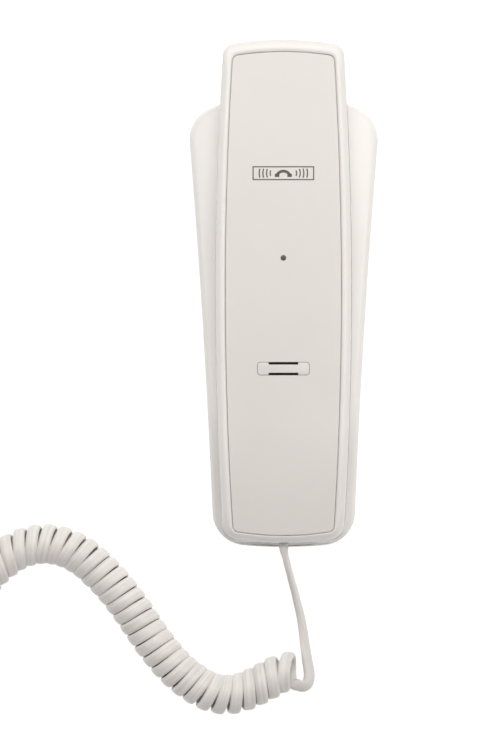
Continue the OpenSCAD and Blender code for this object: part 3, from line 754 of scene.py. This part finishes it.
def outer_shell():
    s = Solid()
    recess = grown(PLATE, 0.17)
    inner = grown(HANDSET, -SHELL_T)
    room = face_z(HANDSET[:, 1]) - PARTING_Z - SEAM - 0.4
    squeeze = np.minimum(1, room / 6.2)
    made = [
        s.ring(inner, PARTING_Z + 0.02),
        s.ring(grown(HANDSET, -SEAM), PARTING_Z + 0.02),
        s.ring(grown(HANDSET, -0.03), PARTING_Z + SEAM),
    ]
    first = HANDSET + (recess - HANDSET) * RIM[0][0]
    rim_low = face_z(first[:, 1]) + RIM[0][1] * squeeze
    for share in (0.33, 0.67):
        z = PARTING_Z + SEAM + (rim_low - PARTING_Z - SEAM) * share
        made.append(s.ring(HANDSET + (first - HANDSET) * share, z))
    for share, beside, below, above in RIM:
        xy = HANDSET + (recess - HANDSET) * share
        mouth = ease((MOUTH_RIM[0] - xy[:, 1]) / MOUTH_RIM[1])
        ear = ease((xy[:, 1] - EAR_RIM[0]) / EAR_RIM[1])
        beside = beside * np.where(share < CREST, squeeze, 1)
        made.append(s.ring(xy, face_z(xy[:, 1]) + beside * (1 - mouth - ear) + below * mouth + above * ear))

    def recess_z(x, y):
        return face_z(y) - PLATE_DROP - PLATE_T - 0.05

    def ceiling_z(x, y):
        return np.maximum(face_z(y) - PLATE_DROP - PLATE_T - SHELL_T, PARTING_Z + 0.5)

    floor = s.ring(recess, recess_z(*recess.T))
    s.rings([*made, floor])
    s.cap(floor, recess, recess_z)
    top = s.ring(inner, ceiling_z(*inner.T))
    s.bridge(top, made[0])
    s.cap(top, inner, ceiling_z, up=False)
    return piece("handset_top", s.points, s.faces)


def plate_top(x, y):
    """Height of the face plate, which is slightly crowned across."""
    return face_z(y) - PLATE_DROP + 0.18 - 0.42 * (x / plate_half(y)) ** 2


def plate_solid():
    s = Solid()
    low = s.ring(grown(PLATE, -0.05), face_z(PLATE[:, 1]) - PLATE_DROP - PLATE_T)
    made = [low]
    for inset, drop in ((0, 0.5), (0.02, 0.28), (0.1, 0.1), (0.24, 0.02), (0.42, 0)):
        xy = grown(PLATE, -inset)
        made.append(s.ring(xy, plate_top(*xy.T) - drop))
    s.rings(made)
    s.cap(made[-1], grown(PLATE, -0.42), plate_top, lambda y, x: np.linspace(x, -x, 25))
    s.cap(low, grown(PLATE, -0.05), lambda x, y: face_z(y) - PLATE_DROP - PLATE_T, up=False)
    return piece("plate", s.points, s.faces)


GRILLE = (21.4, 5.2)
SLOT = (12.3, 0.9)
LENS_R = 1.1
GRILLE_ROOM, LENS_ROOM = 0.32, 0.08
WINDOW_LOW, WINDOW_HIGH = 38, 60


def window_cutters():
    """Holes for the grille insert and the lens, through the shell or the plate."""
    window = box_outline(GRILLE[0] + GRILLE_ROOM, GRILLE[1] + GRILLE_ROOM, 1.35, at=(0, GRILLE_Y))
    lens_hole = round_outline(LENS_R + LENS_ROOM, at=(0, LENS_Y))
    return [hole(outline, WINDOW_LOW, WINDOW_HIGH) for outline in (window, lens_hole)]


dress(carved(outer_shell(), window_cutters()), "handset", "handset_abs", "handset_outer_shell")
dress(carved(plate_solid(), window_cutters()), "handset", "plate_abs", "face_plate")


def grille_outline():
    """The insert: a rounded bar with a long notch in each long side."""
    bar = box_outline(*GRILLE, 1.2, at=(0, GRILLE_Y))
    half, deep, edge = SLOT[0] / 2, GRILLE[1] / 2 - SLOT[1], GRILLE[1] / 2
    q = len(bar) // 4
    notch = [(-half, -edge), (-half, -deep), (half, -deep), (half, -edge)]
    below = [(x, GRILLE_Y + y) for x, y in notch]
    above = [(-x, GRILLE_Y - y) for x, y in notch]
    return bar[3 * q :] + below + bar[: 2 * q] + above + bar[2 * q : 3 * q]


grille = prism("speaker_grille", grille_outline(), 42.4, lambda x, y: plate_top(x, y) + 0.02)
dress(rounded_off(grille, 0.12, 2), "handset", "plate_abs", "ringer_grille")
lens_outline = round_outline(LENS_R, at=(0, LENS_Y))
lens = prism("message_lens", lens_outline, 44.2, lambda x, y: plate_top(x, y) + 0.12)
dress(rounded_off(lens, 0.3, 4), "handset", "smoked_lens", "indicator_lens")


def printed(outer, inner):
    """Thin strip of ink between two lines of points, lying on the face plate."""
    n = len(outer)
    points = [(x, y, plate_top(x, y) + h) for h in (-0.06, 0.03) for x, y in [*outer, *inner]]
    faces = []
    for i in range(n - 1):
        a, b, c, d = i, i + 1, n + i + 1, n + i
        faces += [(a, d, c, b), tuple(2 * n + k for k in (a, b, c, d))]
        faces += [(a, b, 2 * n + b, 2 * n + a), (d, 2 * n + d, 2 * n + c, c)]
    faces += [(0, 2 * n, 3 * n, n), (n - 1, 2 * n - 1, 4 * n - 1, 3 * n - 1)]
    return piece("ink", points, faces)


def arc_points(centre, r, start, finish, steps=16):
    return [
        (centre[0] + r * math.cos(t), centre[1] + r * math.sin(t))
        for t in np.radians(np.linspace(start, finish, steps))
    ]


BADGE_FRAME = (25.6, 5.8)
BADGE_LINE, ARC_LINE = 0.5, 0.55
SOUND_ARCS, ARCS_OUT = (2.6, 4.1, 5.6, 7.1), 2.6


def printed_bar(x0, x1, low, high, steps=3):
    """Printed strip across the plate, between two places along it."""
    xs = np.linspace(x0, x1, steps)
    return printed([(x, high) for x in xs], [(x, low) for x in xs])


def printed_arc(centre, inner, outer, start, finish):
    return printed(arc_points(centre, outer, start, finish), arc_points(centre, inner, start, finish))


def badge_piece():
    """Generic pictogram: a handset between two sets of sound arcs, in a plain frame."""
    w, l = BADGE_FRAME[0] / 2, BADGE_FRAME[1] / 2
    t = BADGE_LINE
    parts = []
    for side in (-1, 1):
        y0, y1 = sorted((BADGE_Y + side * l, BADGE_Y + side * (l - t)))
        parts.append(printed_bar(-w, w, y0, y1, 9))
        x0, x1 = sorted((side * w, side * (w - t)))
        parts.append(printed_bar(x0, x1, BADGE_Y - l + t, BADGE_Y + l - t))
    parts.append(printed_arc((0, BADGE_Y - 2.15), 2.4, 3.6, 28, 152))
    for side in (-1, 1):
        x0, x1 = sorted((side * 1.65, side * 3.55))
        parts.append(printed_bar(x0, x1, BADGE_Y - 1.6, BADGE_Y - 0.3))
        for r in SOUND_ARCS:
            open_by = math.degrees(min(math.asin(1.8 / r), math.atan(0.45)))
            span = (-open_by, open_by) if side > 0 else (180 - open_by, 180 + open_by)
            parts.append(printed_arc((side * ARCS_OUT, BADGE_Y), r, r + ARC_LINE, *span))
    return joined("badge_print", parts)


dress(badge_piece(), "handset", "badge_ink", "badge")


# Rounded lower edge of the inner shell: how far in from the outline, and how far above the underside
EDGE = [(0.0, 3.6), (0.12, 2.5), (0.42, 1.45), (0.9, 0.72), (1.55, 0.26), (2.3, 0.05), (3.1, 0.0)]
KEY_COLUMNS = (15, 0, -15)
KEY_ROWS = (12, -1, -14, -27)
KEY_SIZE = (11.5, 7.0)
FUNCTION_ROW, FUNCTION_KEYS = -41, ("recall", "redial", "mute")
FACE_Z = 29.0
HANDSET_SCREWS = ((-22, 28), (22, 28), (-21.5, -56), (21.5, -56))
DIAL = (("1", "2", "3"), ("4", "5", "6"), ("7", "8", "9"), ("star", "0", "hash"), FUNCTION_KEYS)
keys = {
    f"key_{name}": (x, y)
    for names, y in zip(DIAL, (*KEY_ROWS, FUNCTION_ROW))
    for name, x in zip(names, KEY_COLUMNS)
}


def inner_shell():
    s = Solid()
    inner = grown(HANDSET, -SHELL_T)
    top_in = s.ring(inner, PARTING_Z - 0.02)
    made = [
        top_in,
        s.ring(grown(HANDSET, -SEAM), PARTING_Z - 0.02),
        s.ring(grown(HANDSET, -0.03), PARTING_Z - SEAM),
    ]
    low = under_z(HANDSET[:, 1]) + EDGE[0][1]
    for share in (0.35, 0.7):
        z = PARTING_Z - SEAM + (low - PARTING_Z + SEAM) * share
        made.append(s.ring(grown(HANDSET, -0.25 * share), z))
    for inset, rise in EDGE:
        xy = grown(HANDSET, -0.3 - inset)
        made.append(s.ring(xy, under_z(xy[:, 1]) + rise))
    s.rings(made)
    last = grown(HANDSET, -0.3 - EDGE[-1][0])
    s.cap(made[-1], last, lambda x, y: under_z(y), up=False)
    floor = s.ring(inner, np.minimum(under_z(inner[:, 1]) + SHELL_T + 1.8, PARTING_Z - 1))
    s.bridge(floor, top_in)
    s.cap(floor, inner, lambda x, y: np.minimum(under_z(y) + SHELL_T, PARTING_Z - 1))
    return piece("handset_under", s.points, s.faces)


KEY_ROOM = 0.5
FACE_CUT, SOUND_CUT = (20, 34), (10, 22)


def inner_cutters():
    """Holes of the inner shell: keys, slider, earpiece, microphone, screws and the plug's mouth."""
    w, l = KEY_SIZE
    made = [hole(box_outline(w + KEY_ROOM, l + KEY_ROOM, 1.75, at=at), *FACE_CUT) for at in keys.values()]
    made.append(hole(box_outline(8.6, 3.1, 0.8, at=(0, SLIDER_Y)), *FACE_CUT))
    places = [(0, EARPIECE_Y)]
    for count, r in ((6, 5), (12, 10)):
        turns = np.arange(count) * 2 * math.pi / count
        places += [(r * math.cos(t), EARPIECE_Y + r * math.sin(t)) for t in turns]
    made += [hole(round_outline(0.9, 14, at), *SOUND_CUT) for at in places]
    made += [hole(round_outline(0.7, 12, (x, MIC_Y)), *SOUND_CUT) for x in (-3, 0, 3)]
    for at in HANDSET_SCREWS:
        well = hole(round_outline(2.9, 28, at), 20, 30)
        bore = hole(round_outline(1.6, 20, at), 29.5, 34)
        made.append(carved(well, [bore], "UNION"))
    mouth = [(-5.5, Y_MOUTH - 2), (5.5, Y_MOUTH - 2), (5.5, Y_MOUTH + 4), (-5.5, Y_MOUTH + 4)]
    made.append(hole(mouth, SOCKET_Z - 5.7, SOCKET_Z + 5.7))
    return made


dress(carved(inner_shell(), inner_cutters()), "handset", "handset_abs", "handset_inner_shell")


# ------------------------------------------------ keys and slider

KEY_LOW, KEY_FLANGE = FACE_Z - 1.8, 31.05
# Rings of a keycap from its flange down to its dished face: wider and longer than the key by, corner
# radius, height
KEY_RINGS = [
    (1.8, 1.8, 2.0, KEY_FLANGE + 0.8), (1.8, 1.8, 2.0, KEY_FLANGE), (0, 0, 1.5, KEY_FLANGE),
    (0, 0, 1.5, KEY_LOW + 1.0), (-0.15, -0.15, 1.45, KEY_LOW + 0.5), (-0.6, -0.6, 1.3, KEY_LOW + 0.12),
    (-1.3, -1.3, 1.1, KEY_LOW), (-2.4, -2.4, 0.9, KEY_LOW + 0.05), (-4.5, -4.2, 0.8, KEY_LOW + 0.14),
    (-7.5, -5.8, 0.5, KEY_LOW + 0.2),
]
DIGIT_SIZE, FUNCTION_SIZE, LETTERS_SIZE = 3.6, 2.6, 1.9
LEGENDS = {"star": "*", "hash": "#", "recall": "R", "redial": "RD", "mute": "M"}
LETTERS = {"2": "ABC", "3": "DEF", "4": "GHI", "5": "JKL", "6": "MNO", "7": "PQRS", "8": "TUV", "9": "WXYZ"}


def legend(text, size, x, y, z):
    """Lettering that reads from below, as a thin solid in millimetres."""
    curve = bpy.data.curves.new("text", "FONT")
    curve.body, curve.size, curve.align_x, curve.align_y = text, size * MM, "CENTER", "CENTER"
    curve.extrude = 0.02 * MM
    curve.resolution_u = 3
    made = linked("text", curve)
    made.matrix_world = Matrix.Translation((x * MM, y * MM, z * MM)) @ Matrix.Rotation(math.pi, 4, "Y")
    bpy.context.view_layer.update()
    mesh = bpy.data.meshes.new_from_object(made.evaluated_get(bpy.context.evaluated_depsgraph_get()))
    solid = linked("text_solid", mesh)
    solid.matrix_world = made.matrix_world.copy()
    bpy.data.objects.remove(made)
    return solid


def key_cap(name, at, n=24):
    """Keycap with rings from its flange down to a dished face."""
    w, l = KEY_SIZE
    points = [
        (x, y, z)
        for wider, longer, r, z in KEY_RINGS
        for x, y in box_outline(w + wider, l + longer, r, 6, at)
    ]
    ends = [tuple(range(n)), tuple(range(len(points) - n, len(points)))[::-1]]
    return piece(name, points, tube_faces(n, len(KEY_RINGS)) + ends)


def key_legend(short, x, y):
    """A key's digit or sign, with its letters beside it if it has any."""
    big = FUNCTION_SIZE if short in FUNCTION_KEYS else DIGIT_SIZE
    text = LEGENDS.get(short, short)
    if short not in LETTERS:
        return joined("legend_" + short, [legend(text, big, x, y, KEY_LOW + 0.12)])
    digit = legend(text, big, x + 2.0, y, KEY_LOW + 0.09)
    letters = legend(LETTERS[short], LETTERS_SIZE, x - 1.9, y, KEY_LOW + 0.09)
    return joined("legend_" + short, [digit, letters])


for node_name, at in keys.items():
    short = node_name[4:]
    dress(key_cap("cap_" + short, at), node_name, "key_abs", node_name)
    dress(key_legend(short, *at), node_name, "badge_ink")


MAT_LOW, MAT_HIGH = 33.1, 33.4
DOME_R, DOME_TIP = 3.3, KEY_FLANGE + 0.9
# A dome's rings from its foot in the sheet to its crown: wider than DOME_R by, height
DOME_RINGS = [
    (0, MAT_HIGH - 0.05), (0, MAT_LOW), (-0.3, MAT_LOW - 0.2), (-0.7, MAT_LOW - 0.7),
    (-0.9, DOME_TIP + 0.15), (-1.1, DOME_TIP + 0.02), (-1.5, DOME_TIP),
]


def rubber_dome(name, at, n=24):
    """One dome of the key mat, as rings from its foot in the sheet to its crown behind the key."""
    points = [(x, y, z) for wider, z in DOME_RINGS for x, y in round_outline(DOME_R + wider, n, at)]
    ends = [tuple(range(n)), tuple(range(len(points) - n, len(points)))]
    return piece(name, points, tube_faces(n, len(DOME_RINGS)) + ends, MATERIALS["silicone"])


mat_holes = [hole(round_outline(DOME_R - 0.4, 24, at), MAT_LOW - 1, MAT_HIGH + 1) for at in keys.values()]
mat_sheet = prism("mat_sheet", box_outline(40, 65, 2, at=(0, -14.5)), MAT_LOW, MAT_HIGH)
dress(carved(mat_sheet, mat_holes), "handset", "silicone", "key_mat")
for node_name, at in keys.items():
    dome = rubber_dome("dome_" + node_name[4:], at)
    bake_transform(dome)

slider = prism("volume_slider", box_outline(4, 2.6, 0.6, at=(0, SLIDER_Y)), FACE_Z - 0.8, KEY_FLANGE + 0.2)
ribs = [
    hole(box_outline(0.3, 3, 0.1, 3, at=(x, SLIDER_Y)), FACE_Z - 1.2, FACE_Z - 0.55) for x in (-1, 0, 1)
]
slider_flange = prism("f", box_outline(12, 5, 0.3, at=(0, SLIDER_Y)), KEY_FLANGE, KEY_FLANGE + 0.45)
slider = joined("volume_slider", [carved(rounded_off(slider, 0.25, 2), ribs), slider_flange])
dress(slider, "ringer_slider", "key_abs", "ringer_slider")


# ------------------------------------------------ base

WALL_T = 2.2
BASE_TOP_LOOP = grown(BASE, -0.45)
WING_SLOPE = 0.17
EDGE_R = 2.0
LIP_R = 0.2
STEP = 0.6
VISIBLE_GAP = 0.07


def distance_to(outline, x, y):
    """Shortest distance from each point to an outline."""
    x, y = np.broadcast_arrays(np.asarray(x, float), np.asarray(y, float))
    flat = np.column_stack([x.ravel(), y.ravel()])
    near = [np.hypot(outline[:, 0] - a, outline[:, 1] - b).min() for a, b in flat]
    return np.array(near).reshape(x.shape)


def trough_half(y):
    """Half the width of the cradle's trough, which follows the handset's outline closely."""
    side = HANDSET[: len(HANDSET) // 2 + 1]
    return np.interp(y, side[:, 1], side[:, 0]) + VISIBLE_GAP


def base_top(x, y, inset=0.0, edge=BASE_TOP_LOOP):
    """Height of the base's top: wings that slope gently outwards on both sides of the cradle's trough."""
    x, y = np.asarray(x, float), np.asarray(y, float)
    trough = trough_half(y) + inset
    past = np.abs(x) - trough
    near_edge = np.clip(1 - distance_to(edge, x, y) / EDGE_R, 0, 1)
    roof = rim_z(y) - inset - WING_SLOPE * np.maximum(past, 0) - EDGE_R * (1 - np.sqrt(1 - near_edge**2))
    lip = np.clip(past / LIP_R, 0, 1)
    roof = roof - LIP_R * (1 - np.sqrt(1 - (1 - lip) ** 2)) * (past > -STEP)
    floor = cradle_z(y) - inset
    return np.where(roof < floor, roof, floor + (roof - floor) * ease((past + STEP) / STEP))


def base_columns(inset=0.0):
    """Columns of a row of the base: even over the trough's floor, close at its wall and at the edge."""

    def columns(y, x):
        trough = trough_half(y) + inset
        floor = np.linspace(0, trough - 1.4, 7)
        wall = trough + np.array([-0.8, -0.6, -0.5, -0.4, -0.3, -0.2, -0.1, 0.0, 0.06, 0.15, 0.28, 0.45])
        start = trough + 0.7
        crown = start + (max(x, start) - start) * np.sin(np.linspace(0, math.pi / 2, 13))
        half = np.minimum(np.concatenate([floor, wall, crown]), x)
        half[-1] = x
        return np.concatenate([half[::-1], -half[1:]])

    return columns


def base_shell():
    s = Solid()
    edge = BASE_TOP_LOOP
    top_z = base_top(*edge.T)
    under_edge = grown(BASE, -WALL_T - 0.45)
    inner = grown(BASE, -WALL_T)
    made = [
        s.ring(inner, FOOT_H),
        s.ring(grown(BASE, -0.35), FOOT_H),
        s.ring(grown(BASE, -0.08), FOOT_H + 0.25),
        s.ring(BASE, FOOT_H + 0.8),
    ]
    for share in (0.3, 0.65, 1.0):
        made.append(s.ring(BASE, FOOT_H + 0.8 + (top_z - 1.7 - FOOT_H) * share))
    made.append(s.ring(grown(BASE, -0.05), top_z - 0.5))
    made.append(s.ring(grown(BASE, -0.2), top_z - 0.2))
    made.append(s.ring(edge, top_z))
    s.rings(made)
    s.cap(made[-1], edge, base_top, base_columns())
    ceiling = s.ring(inner, base_top(*under_edge.T, WALL_T, under_edge))
    s.bridge(ceiling, made[0])
    s.cap(ceiling, inner, lambda x, y: base_top(x, y, WALL_T, under_edge), base_columns(WALL_T), up=False)
    return piece("cradle_base", s.points, s.faces, sharp=28)


JACKS = ((-9.5, 13.2), (9.5, 11.0))
JACK_Z, JACK_H = 9.7, 9.2
PLUNGER = (12, 7)


def base_cutters():
    """Holes of the base: the hook button's above, and the two sockets' in the mouth end."""
    made = [hole(box_outline(PLUNGER[0] + 0.8, PLUNGER[1] + 0.8, 1.4, at=(0, HOOK_Y)), 20, 30)]
    for x, w in JACKS:
        window = box_outline(w, JACK_H, 0.6, at=(x, 0))
        low = [(px, Y_END - 3, JACK_Z + pz) for px, pz in window]
        high = [(px, Y_END + 5, JACK_Z + pz) for px, pz in window]
        n = len(window)
        ends = [tuple(range(n)), tuple(range(n, 2 * n))[::-1]]
        made.append(piece("hole", low + high, ends + tube_faces(n)))
    return made


dress(carved(base_shell(), base_cutters(), sharp=28), "base", "base_abs", "base_cover")

plunger_top = FACE_Z - 0.3
plunger = rounded_off(
    prism("p", box_outline(*PLUNGER, 1.0, at=(0, HOOK_Y)), plunger_top - 10.5, plunger_top), 0.6, 4
)
dent = box_outline(PLUNGER[0] - 4.4, PLUNGER[1] - 4.4, 0.8, at=(0, HOOK_Y))
plunger = carved(plunger, [hole(dent, plunger_top - 0.5, plunger_top + 1)])
flange = prism("f", box_outline(26, 11, 1, at=(0, HOOK_Y)), plunger_top - 12.5, plunger_top - 10.5)
stem = prism("s", round_outline(2, 28, (0, HOOK_Y)), plunger_top - 16.5, plunger_top - 12.5)
dress(joined("hook_button", [plunger, flange, stem]), "hook_plunger", "base_abs", "hook_plunger")


# ------------------------------------------------ modular plugs

PLUG_W, PLUG_H, PLUG_L = 7.65, 6.5, 11.6
CONTACT_PITCH = 1.02


def slab(size, at, radius=0.0, segments=2):
    """Box of a size about a point, in the plug's own axes, with rounded edges."""
    w, l, h = size
    outline = box_outline(w, l, max(radius, 0.02), 4, at=at[:2])
    made = prism("s", outline, at[2] - h / 2, at[2] + h / 2)
    return rounded_off(made, radius, segments) if radius else made


def contact_places():
    return [(i - 1.5) * CONTACT_PITCH for i in range(4)]


def plug_shell(latch):
    """Clear four-way plug along +Y with its cord end at y = 0 and its latch below."""
    body = slab((PLUG_W, PLUG_L, PLUG_H), (0, PLUG_L / 2, 0), 0.35)
    grooves = [slab((0.5, 2.9, 2.4), (x, PLUG_L - 1.4, PLUG_H / 2)) for x in contact_places()]
    mouth = slab((5.6, 6.4, 3.0), (0, 2.6, 0))
    wedge = slab((4.6, 2.2, 1.6), (0, 5.2, PLUG_H / 2 + 0.1))
    body = carved(body, [*grooves, mouth, wedge], sharp=40)
    profile = [
        (10.8, -3.15), (9.6, -4.3), (0.3, -3.75 - latch), (0.3, -2.95 - latch), (3.5, -3.3 - latch * 0.7),
        (8.4, -3.5), (9.3, -3.15),
    ]
    n = len(profile)
    w = (1.6, 1.6, 2.1, 2.1, 1.7, 1.6, 1.6)
    points = [(-w[i], *p) for i, p in enumerate(profile)] + [(w[i], *p) for i, p in enumerate(profile)]
    ends = [tuple(range(n)), tuple(range(n, 2 * n))[::-1]]
    tongue = rounded_off(piece("tongue", points, ends + tube_faces(n)), 0.18, 2)
    return joined("plug", [body, tongue])


def plug_blades():
    return joined("blades", [slab((0.3, 2.5, 1.8), (x, PLUG_L - 1.45, 2.15), 0.06) for x in contact_places()])


def placed(obj, matrix, name):
    """Moves a piece made in the plug's own axes to its place, with its object left at the origin."""
    obj.data.transform(matrix)
    obj.name = name
    return obj


def spot(x, y, z, turn):
    return Matrix.Translation((x * MM, y * MM, z * MM)) @ Matrix.Rotation(turn, 4, "Y")


IN_HANDSET = spot(0, Y_MOUTH + 0.1, SOCKET_Z, math.pi / 2)
FREE_END = spot(-157, -140, 3.3, math.pi)


def dressed_plug(latch, matrix, where, body, node):
    """Shell and blades of the plug at one end of the cord; latch is how far its tongue stands out."""
    shell = dress(placed(plug_shell(latch), matrix, "plug_" + where), body, "clear_plastic", node)
    blades = dress(placed(plug_blades(), matrix, "blades_" + where), body, "gold", node + "_contacts")
    return shell, blades


dressed_plug(0.55, IN_HANDSET, "in_handset", "handset", "handset_plug")
boot_outline = box_outline(3.8, 2.2, 0.9, at=(0, Y_MOUTH - 0.6))
boot = prism("cord_boot", boot_outline, SOCKET_Z - 3.2, SOCKET_Z + 3.2)
dress(rounded_off(boot, 0.7, 3), "handset", "cord_vinyl")
free_plug, free_blades = dressed_plug(1.7, FREE_END, "loose", "base", "free_plug")


# ------------------------------------------------ CAD pieces that stay

slots = {row["node"]: row["material_slot"] for row in frame["record"]["subparts"]}
for name, node in nodes.items():
    node.data.materials.clear()
    node.data.materials.append(MATERIALS[slots[name]])


# ------------------------------------------------ floor, light and world

FLOOR_HALF, FLOOR_DROP = 3.0, 0.00005
floor_mesh = bpy.data.meshes.new("floor")
corners = [(x * FLOOR_HALF, y * FLOOR_HALF, -FLOOR_DROP) for x, y in ((-1, -1), (1, -1), (1, 1), (-1, 1))]
floor_mesh.from_pydata(corners, [], [(0, 1, 2, 3)])
floor = linked("floor", floor_mesh)
floor_mesh.materials.append(floor_material())


LAMP_AIM, LAMP_COLOUR = (0, 0, 0.03), (1, 0.985, 0.965)


def softbox(name, place, size, power):
    light = bpy.data.lights.new(name, "AREA")
    light.shape, light.size, light.size_y = "RECTANGLE", *size
    light.energy, light.color = power, LAMP_COLOUR
    made = linked(name, light)
    made.location = place
    made.rotation_euler = (Vector(LAMP_AIM) - Vector(place)).to_track_quat("-Z", "Y").to_euler()
    made.visible_camera = False


softbox("key", (0.05, 1.4, 0.80), (1.0, 0.6), 3.7)
softbox("front", (0, 0.85, 1.80), (1.2, 1.0), 16.3)
softbox("left", (-1.0, 0.1, 1.20), (0.8, 0.8), 4.7)
softbox("right", (1.0, 0.05, 1.20), (0.8, 0.8), 7.2)
world = bpy.data.worlds.new("studio")
scene.world = world
world.use_nodes = True
backdrop = world.node_tree.nodes["Background"]
backdrop.inputs["Color"].default_value = (*STUDIO_WHITE, 1)
backdrop.inputs["Strength"].default_value = 0.2
scene.view_settings.view_transform = "Standard"
